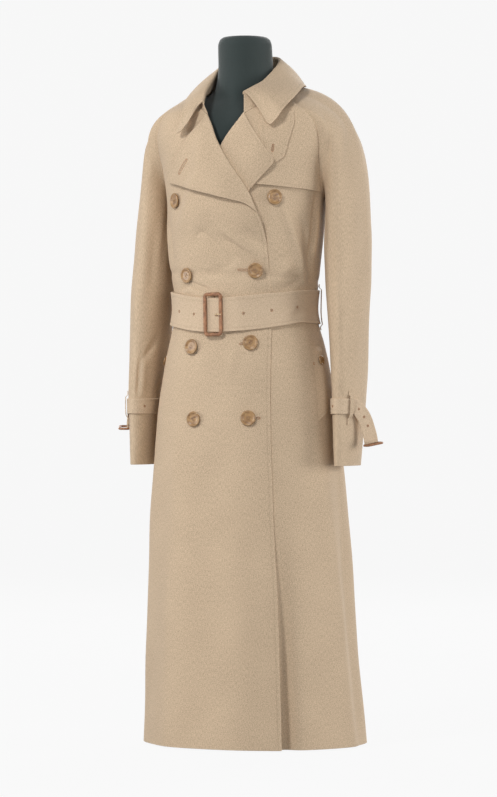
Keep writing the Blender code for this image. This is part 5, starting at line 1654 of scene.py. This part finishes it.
horn = horn_finish()
button_thread = thread_finish("button_thread", (0.42, 0.27, 0.15, 1), (0.20, 0.11, 0.06, 1))
button_points, button_faces = plain_button()
button_facts = []
for name, column in (("left", LEFT_BUTTONS), ("right", RIGHT_BUTTONS)):
    for number, (height, degrees, lift) in enumerate(column, start=1):
        turn, level = np.array(math.radians(degrees)), np.array(height)
        across = body_points(turn, level)[0]
        footprint = turn_of(across + BUTTON_RADIUS * np.linspace(-1, 1, 5), level)
        on_right = (footprint < edge_turn(level)) & (footprint > -math.pi / 2)
        top = np.where(on_right, right_front_top(footprint, level), 0.0).max() + lift
        top = top + float(body_drape(turn, level)) * 0.5
        button_facts.append((f"front_button_{name}_{number}", turn, level, BUTTON_RADIUS, 1.0, top))
for name, side in SIDES:
    seat = (np.array(side * math.radians(POCKET_BUTTON[1])), np.array(POCKET_BUTTON[0]))
    size = (POCKET_BUTTON_RADIUS, POCKET_BUTTON_SHARE)
    button_facts.append(("pocket_button_" + name, *seat, *size, WELT_TOP))
for index, (name, turn, level, radius, thick, top) in enumerate(button_facts):
    axes = surface_axes(turn, level)
    centre = body_points(turn, level) + axes[2] * (top + LAYER_GAP)
    first, second, _ = turned_axes(axes, math.radians(FIRST_SPIN + NEXT_SPIN * index))
    deep = BUTTON_THICKNESS * thick
    points = centre + button_points[:, 0:1] * first * radius + button_points[:, 1:2] * second * radius
    points = points + button_points[:, 2:3] * axes[2] * deep
    reach = np.linalg.norm(button_points[:, :2], axis=1)
    button = righted(make_piece(name + "_horn", points, button_faces, horn, edge=reach))
    button.data.set_sharp_from_angle(angle=math.radians(BUTTON_SHARP_DEGREES))
    fixed(button, name)
    sewing = []
    for y in (1, -1):
        spots = []
        for x, z in THREAD_COURSE:
            flat = first * x * HOLE_SPREAD * radius + second * y * HOLE_SPREAD * radius
            spots.append(centre + flat + axes[2] * z * deep)
        sewing.append(tube_mesh(spots, radius * 0.036, 6, 1.0, axes[2]))
    shank = [centre - axes[2] * 0.0006, centre + axes[2] * 0.0004]
    sewing.append(tube_mesh(shank, radius * 0.16, 8, 1.0, axes[0]))
    sewn = righted(make_piece(name + "_thread", *joined(sewing), button_thread))
    fixed(sewn)

# ---- sleeve straps
# Narrow belts round the cuffs, held by a loop on the outside. Each end hangs loose with
# a small leather-covered buckle, and has worked eyelets.

STRAP_TO = 38.5
STRAP_LAYER = 0.0009
STRAP_THICKNESS = 0.0022
STRAP_SETTLING = 0.022
# The loose ends: distance along the strap's last heading, and drop.
LEFT_LOOSE_END = (
    (0.008, 0.0015),
    (0.016, 0.0095),
    (0.024, 0.0195),
    (0.030, 0.0310),
    (0.034, 0.0440),
    (0.037, 0.0560),
    (0.039, 0.0670),
)
RIGHT_LOOSE_END = (
    (0.006, 0.0010),
    (0.013, 0.0060),
    (0.019, 0.0150),
    (0.023, 0.0260),
    (0.025, 0.0380),
)
# Where each strap starts, in degrees round the arm, its last heading, and its loose end.
STRAPS = {"left": (235.0, 50.0, LEFT_LOOSE_END), "right": (285.0, 69.0, RIGHT_LOOSE_END)}
STRAP_STEPS = 130
STRAP_BUCKLE_SIZE = (0.022, 0.035, 0.0046, 0.0042)
STRAP_BUCKLE_DROP = 0.0020
STRAP_BUCKLE_SHIFT = 0.0072
STRAP_LOOP_TURN = 46.0
STRAP_LOOP_WIDTH = 0.008
STRAP_LOOP_THICKNESS = 0.0014
STRAP_LOOP_CLEARANCE = 0.0012
STRAP_CURL = 0.0012
# Level from the strap's middle, and how far the loop stands out there.
STRAP_LOOP_SHAPE = (
    (-0.033, 0.0),
    (-0.024, 0.0),
    (-0.0160, 1.0),
    (0.0, 1.1),
    (0.0160, 1.0),
    (0.022, 0.0),
    (0.028, 0.0),
)


def arm_frame(angle, height):
    """Point, outward normal and tangent on the wearer's left arm."""
    share = angle / math.pi
    point = arm_ring(share, height)
    along = unit(arm_ring(share - 0.01, height) - arm_ring(share + 0.01, height))
    up_way = arm_ring(share, height + 0.01) - arm_ring(share, height - 0.01)
    out = unit(np.cross(along, up_way))
    facing = np.stack([np.cos(angle), -np.sin(angle), 0 * angle], axis=-1)
    return point, out * np.where(np.sum(out * facing, axis=-1, keepdims=True) < 0, -1.0, 1.0), along


def strap_course(start, heading, loose_end):
    """The middle of a left strap's inner face, and the way that face looks out."""
    angle = np.radians(np.linspace(start, STRAP_TO, 20))
    point, out, _ = arm_frame(angle, np.full(len(angle), STRAP_HEIGHT))
    point = point + out * STRAP_LAYER
    way = math.radians(heading)
    level = np.array([math.cos(way), math.sin(way), 0.0])
    facing = np.array([math.sin(way), -math.cos(way), 0.0])
    points, faces = list(point), list(out)
    for along, drop in loose_end:
        turned_share = float(ease(along, 0.0, STRAP_SETTLING))
        points.append(point[-1] + level * along - UP * drop)
        faces.append(unit(out[-1] * (1 - turned_share) + facing * turned_share))
    points, faces = np.array(points), np.array(faces)
    knots = lengths_along(points, 0)
    even = np.linspace(0, knots[-1], STRAP_STEPS)
    line = smooth_curves(np.column_stack([knots, points]))(even)
    faces = unit(smooth_curves(np.column_stack([knots, faces]))(even))
    tangent = unit(np.gradient(line, axis=0))
    return line, unit(faces - tangent * np.sum(faces * tangent, axis=-1, keepdims=True)), tangent


straps = {}
for name, side in SIDES:
    line, out, tangent = strap_course(*STRAPS[name])
    wide = np.cross(out, tangent)
    across = edged(9, (0.0, 0.03, 0.1))[:, None, None] - 0.5
    inner = line[None] + wide[None] * across * STRAP_WIDTH
    far = np.linspace(0, 1, STRAP_STEPS)[None, :, None]
    curl = STRAP_CURL * np.sin(far * 21.0) * (across * 2) ** 2 * ease(far, 0.72, 0.9)
    outer = inner + out[None] * (curl + STRAP_THICKNESS)
    flip = np.array([side, 1.0, 1.0])
    # The strap wears the belt's lighter copy of the gabardine: painted light.
    strap = cloth_piece("sleeve_strap_" + name + "_cloth", outer * flip, inner * flip, belt_cloth, "bt")
    topstitch(outer * flip, "bt", inset=0.003, trim=0.003)
    fixed(strap, "sleeve_strap_" + name)
    "sleeve_" + name + "_front_cloth"
    straps[name] = (line * flip, out * flip, tangent * flip)

    end = line[-1] + tangent[-1] * STRAP_BUCKLE_DROP + out[-1] * (STRAP_THICKNESS / 2 + STRAP_BUCKLE_SHIFT)
    end_axes = (out[-1], wide[-1], tangent[-1])
    points, faces = frame_mesh(*STRAP_BUCKLE_SIZE, end, end_axes, 7, 5, 12)
    ring = righted(make_piece("strap_buckle_" + name + "_leather", points * flip, faces, leather))
    fixed(ring, "strap_buckle_" + name)

low, high = STRAP_LOOP_SHAPE[0][0], STRAP_LOOP_SHAPE[-1][0]
level = low + (high - low) * edged(26, (0.0, 0.01, 0.03))
height = STRAP_HEIGHT + level
lift = smooth_curves(STRAP_LOOP_SHAPE)(level)[..., 0]
offset = LAYER_GAP + lift * (STRAP_THICKNESS + 2 * LAYER_GAP + STRAP_LOOP_CLEARANCE)
point, loop_out, along = arm_frame(math.radians(STRAP_LOOP_TURN) + 0 * height, height)
side_way = edged(5, (0.0, 0.06))[None, :, None] - 0.5
loop_inner = (point + loop_out * offset[:, None])[:, None] + along[:, None] * side_way * STRAP_LOOP_WIDTH
loop_outer = loop_inner + loop_out[:, None] * STRAP_LOOP_THICKNESS
for name, side in SIDES:
    flip = np.array([side, 1.0, 1.0])
    loop = cloth_piece("strap_loop_" + name + "_cloth", loop_outer * flip, loop_inner * flip, cotton, "lr")
    fixed(loop, "strap_loop_" + name)
    rests_on = ["sleeve_strap_" + name + "_cloth"]

# ---- sewing
# Rows of topstitching along the edges and seams, the worked buttonholes and the eyelets
# of belt and straps, in thread a little darker or browner than the cloth.

STITCH_PITCH = 0.0034
STITCH_LENGTH = 0.0025
THREAD_RADIUS = 0.00020
HOLE_PITCH = 0.00055
HOLE_STITCH_LENGTH = 0.0016
HOLE_THREAD_RADIUS = 0.00028
BUCKLE_STITCHES = (0.0022, 0.0016, 0.0002)
PATH_STEP = 0.004
SHORTEST_PATH = 12
EYELET = 0.0042
STRAP_EYELET = 0.0036
# Worked buttonholes: the piece, then turn in degrees and height of each end, and width.
BUTTONHOLES = (
    ("lapel_right_cloth", -26.75, 1.0745, -34.75, 1.0496, 0.0050),
    ("throat_latch_cloth", 40.5, 1.1000, 40.0, 1.0865, 0.0032),
    ("front_panel_right", 14.5, 0.8734, 29.0, 0.8725, 0.0034),
    ("front_panel_right", 15.5, 0.7389, 24.0, 0.7410, 0.0034),
    ("front_panel_right", 22.0, 0.6045, 30.5, 0.6045, 0.0034),
    ("front_panel_left", 72.5, 0.7028, 80.5, 0.7090, 0.0034),
    ("front_panel_right", -80.5, 0.7090, -72.5, 0.7028, 0.0034),
)
# Eyelets: turns along the belt in degrees, and steps along each strap.
BELT_EYELETS = (-445.0, -423.5, -401.75, -385.25, -364.0, -340.5, -318.5, -296.0)
STRAP_EYELETS = {"left": (60, 91, 101, 111), "right": (70, 106, 116)}


def stitch_tree():
    """Stitches on the points of paths; each lies the way that its path's points say."""
    tree = bpy.data.node_groups.new("stitch_run", "GeometryNodeTree")
    inputs = {"Paths": "Geometry", "Pitch": "Float", "Stitch Length": "Float", "Thread Radius": "Float"}
    inputs["Thread"] = "Material"
    for name, kind in inputs.items():
        tree.interface.new_socket(name, in_out="INPUT", socket_type="NodeSocket" + kind)
    tree.interface.new_socket("Stitches", in_out="OUTPUT", socket_type="NodeSocketGeometry")
    graph = Graph(tree)
    given = tree.nodes.new("NodeGroupInput")
    paths, pitch, length, radius, thread = (Channel(graph, given.outputs[name]) for name in inputs)
    curves = graph.node("GeometryNodeMeshToCurve", {}, {"Mesh": paths})
    spaced = graph.node("GeometryNodeResampleCurve", {"mode": "LENGTH"}, {"Curve": curves, "Length": pitch})
    way = graph.node("GeometryNodeInputNamedAttribute", {"data_type": "FLOAT_VECTOR"}, {"Name": "way"})
    turned = graph.node("FunctionNodeAlignRotationToVector", {"axis": "Z"}, {"Vector": way})
    bead = graph.node("GeometryNodeMeshIcoSphere", {}, {"Radius": 1.0, "Subdivisions": 1})
    size = graph.node("ShaderNodeCombineXYZ", {}, {0: radius, 1: radius, 2: length * 0.5})
    shaped = graph.node("GeometryNodeTransform", {}, {"Geometry": bead, "Scale": size})
    sockets = {"Points": spaced, "Instance": shaped, "Rotation": turned}
    laid = graph.node("GeometryNodeInstanceOnPoints", {}, sockets)
    real = graph.node("GeometryNodeRealizeInstances", {}, {"Geometry": laid})
    done = graph.node("GeometryNodeSetMaterial", {}, {"Geometry": real, "Material": thread})
    out = tree.nodes.new("NodeGroupOutput")
    tree.links.new(done.socket, out.inputs["Stitches"])
    return tree


stitch_run = stitch_tree()


def sew(name, paths, ways, pitch, length, radius, thread):
    """Stitches along several paths, as one plain mesh that rides with the coat."""
    points, edges, start = [], [], 0
    for path in paths:
        points.append(path)
        edges += [(start + index, start + index + 1) for index in range(len(path) - 1)]
        start += len(path)
    mesh = bpy.data.meshes.new(name + "_paths")
    mesh.from_pydata(np.concatenate(points).tolist(), edges, [])
    way = mesh.attributes.new("way", "FLOAT_VECTOR", "POINT")
    way.data.foreach_set("vector", np.concatenate(ways).astype(np.float32).ravel())
    route = placed(name + "_paths", mesh)
    modifier = route.modifiers.new("sewing", "NODES")
    modifier.node_group = stitch_run
    values = {"Pitch": pitch, "Stitch Length": length, "Thread Radius": radius, "Thread": thread}
    for item in stitch_run.interface.items_tree:
        if item.in_out == "INPUT" and item.name in values:
            modifier[item.identifier] = values[item.name]
    seen = route.evaluated_get(bpy.context.evaluated_depsgraph_get())
    sewn = placed(name, bpy.data.meshes.new_from_object(seen))
    sewn.data.shade_smooth()
    bpy.data.objects.remove(route, do_unlink=True)
    fixed(sewn)


coat_thread = thread_finish("coat_thread", (0.50, 0.375, 0.262, 1), (0.41, 0.300, 0.205, 1))
tan_thread = thread_finish("tan_thread", (0.47, 0.225, 0.100, 1), (0.30, 0.130, 0.055, 1))
leather_thread = thread_finish("leather_thread", (0.30, 0.13, 0.06, 1), (0.20, 0.08, 0.04, 1))

long_paths = []
for path in thread_paths:
    if len(path) > 3:
        steps = np.linalg.norm(np.diff(path, axis=0), axis=1)
        long_paths.append(resampled(path, max(SHORTEST_PATH, int(np.sum(steps) / PATH_STEP))))
ways = [unit(np.gradient(path, axis=0)) for path in long_paths]
sew("topstitching", long_paths, ways, STITCH_PITCH, STITCH_LENGTH, THREAD_RADIUS, coat_thread)
ways = [unit(np.gradient(buckle_seam, axis=0))]
sew("buckle_stitching", [buckle_seam], ways, *BUCKLE_STITCHES, leather_thread)

hole_paths, hole_ways, slits = [], [], []


def worked_hole(centre, along, out, length, width, cloth=None):
    """The ring of close stitches round a buttonhole or an eyelet, and its dark slit.
    Every point is let down onto the cloth, if a finished piece is given."""
    across = np.cross(out, along)
    angle = np.linspace(0, 2 * math.pi, 41)
    straight = (length - width) / 2
    x = np.cos(angle) * width / 2 + straight * np.clip(np.cos(angle) * 3, -1, 1)
    y = np.sin(angle) * width / 2
    slit_length, slit_width = (0.90, 0.12) if length > 1.5 * width else (0.36, 0.36)
    ring = centre + x[:, None] * along + y[:, None] * across
    rim = (centre + (x * slit_length)[:, None] * along + (y * slit_width)[:, None] * across)[:-1]
    if cloth is not None:
        for line in (ring, rim):
            for index, point in enumerate(line):
                found, spot, _, _ = cloth.ray_cast(Vector(point + out * 0.02), Vector(-out))
                if found:
                    line[index] = np.array(spot) + out * 0.0001
    run = unit(np.gradient(ring, axis=0))
    hole_paths.append(ring)
    hole_ways.append(np.cross(run, out))
    slits.append((np.concatenate([rim + out * 0.00006, rim - out * 0.0002]), ring_faces(2, len(rim))))


def body_hole(name, turn_1, height_1, turn_2, height_2, width):
    """A worked hole from one place to another on the outside of a finished piece."""
    piece = bpy.data.objects[name]
    ends = []
    for turn, height in ((turn_1, height_1), (turn_2, height_2)):
        turn, height = np.array(math.radians(turn)), np.array(height)
        out = body_normals(turn, height)
        start = body_points(turn, height) + out * 0.06
        found, spot, facing, _ = piece.ray_cast(Vector(start), Vector(-out))
        if found:
            ends.append((np.array(spot), np.array(facing)))
    if len(ends) == 2:
        out = unit(ends[0][1] + ends[1][1])
        along = ends[1][0] - ends[0][0]
        along = along - out * np.dot(along, out)
        length = float(np.linalg.norm(along))
        worked_hole((ends[0][0] + ends[1][0]) / 2, along / length, out, length, width, piece)
    else:
        print("no cloth under a buttonhole of", piece.name)


for buttonhole in BUTTONHOLES:
    body_hole(*buttonhole)
for turn in BELT_EYELETS:
    point, normal = belt_face(np.array(math.radians(turn)), np.array(-0.01), 0.0001)
    worked_hole(point, unit(np.cross(UP, normal)), normal, EYELET, EYELET)
for name, places in STRAP_EYELETS.items():
    line, out, tangent = straps[name]
    for place in places:
        spot = line[place] + out[place] * (STRAP_THICKNESS + 0.0001)
        worked_hole(spot, tangent[place], out[place], STRAP_EYELET, STRAP_EYELET)

sew("worked_holes", hole_paths, hole_ways, HOLE_PITCH, HOLE_STITCH_LENGTH, HOLE_THREAD_RADIUS, tan_thread)
shade = Finish("slit_shade", {"Roughness": 0.9})
fibres = shade.noise(shade.place(), 900.0)
shade_colour = shade.blend(fibres, (0.035, 0.020, 0.012, 1), (0.09, 0.05, 0.03, 1))
shade.surface(shade_colour, 0.9, fibres * 0.00002)
dark_slits = righted(make_piece("hole_slits", *joined(slits), shade.material))
fixed(dark_slits)

# ---- studio
# A round pale sweep, whose floor runs up into a wall on every side, large soft lights over
# the front and both sides, and a long lens at the height of the skirt.

VIEW_AZIMUTH = 22.0
VIEW_DISTANCE = 7.0
VIEW_HEIGHT = 0.64
LENS_PIXELS = 3784.0
PICTURE = (497, 797)
SENSOR = 36.0
BOWL_RADIUS = 12.0
BOWL_BEND = 3.0
BOWL_HEIGHT = 9.0
BOWL_SIDES = 72
WORLD_STRENGTH = 0.20
LIGHT_AIM = (0.0, 0.0, 0.75)
# Turn from the camera in degrees, distance, height, size and power of each light.
LIGHTS = (
    ("key_light", -36.0, 5.2, 4.4, 1.3, 205.0),
    ("front_light", 14.0, 5.6, 0.9, 2.2, 84.0),
    ("left_light", -84.0, 4.4, 1.0, 2.2, 80.0),
    ("right_light", 86.0, 4.2, 0.8, 2.2, 110.0),
    ("left_back_light", -158.0, 5.0, 3.2, 2.0, 95.0),
    ("right_back_light", 158.0, 5.0, 3.2, 2.0, 120.0),
)


def sweep_finish():
    glow = {"Emission Color": (0.94, 0.94, 0.94, 1), "Emission Strength": 0.985, "Specular IOR Level": 0.0}
    finish = Finish("pale_sweep", glow)
    place = finish.place()
    dust = finish.noise(place, 3.0, 3.0)
    colour = finish.blend(dust, (0.020, 0.020, 0.020, 1), (0.024, 0.024, 0.024, 1))
    finish.surface(colour, 0.9 + dust * 0.05, dust * 0.0001)
    return finish.material


profile = [(0.6, 0.0), (BOWL_RADIUS - BOWL_BEND, 0.0)]
for angle in np.linspace(-math.pi / 2, 0, 13)[1:]:
    profile.append((BOWL_RADIUS - BOWL_BEND * (1 - math.cos(angle)), BOWL_BEND * (1 + math.sin(angle))))
profile.append((BOWL_RADIUS, BOWL_HEIGHT))
points = np.concatenate([flat_ring(0.0, 0.0, level, far, BOWL_SIDES) for far, level in profile])
faces = [tuple(range(BOWL_SIDES))]
faces += [tuple(reversed(face)) for face in ring_faces(len(profile), BOWL_SIDES, closed_ends=False)]
sweep = make_piece("studio_sweep", points, faces, sweep_finish())
sweep.visible_diffuse = False

world = bpy.data.worlds.new("studio_light")
world.use_nodes = True
backdrop = world.node_tree.nodes["Background"]
backdrop.inputs["Color"].default_value = (1.0, 1.0, 1.0, 1.0)
backdrop.inputs["Strength"].default_value = WORLD_STRENGTH
bpy.context.scene.world = world

azimuth = math.radians(VIEW_AZIMUTH)
for name, turn, far, level, size, power in LIGHTS:
    lamp = bpy.data.lights.new(name, "AREA")
    lamp.shape = "DISK"
    lamp.size = size
    lamp.energy = power
    light = bpy.data.objects.new(name, lamp)
    angle = azimuth + math.radians(turn)
    light.location = (math.sin(angle) * far, -math.cos(angle) * far, level)
    light.rotation_euler = (Vector(LIGHT_AIM) - light.location).to_track_quat("-Z", "Y").to_euler()
    bpy.context.scene.collection.objects.link(light)

camera_data = bpy.data.cameras.new("long_lens")
camera_data.sensor_width = SENSOR
camera_data.lens = LENS_PIXELS * SENSOR / max(PICTURE)
camera_data.shift_x = -1.5 / max(PICTURE)
camera = bpy.data.objects.new("long_lens", camera_data)
camera.location = (math.sin(azimuth) * VIEW_DISTANCE, -math.cos(azimuth) * VIEW_DISTANCE, VIEW_HEIGHT)
camera.rotation_euler = (math.pi / 2, 0.0, azimuth)
bpy.context.scene.collection.objects.link(camera)
bpy.context.scene.camera = camera
bpy.context.scene.view_settings.view_transform = "Standard"
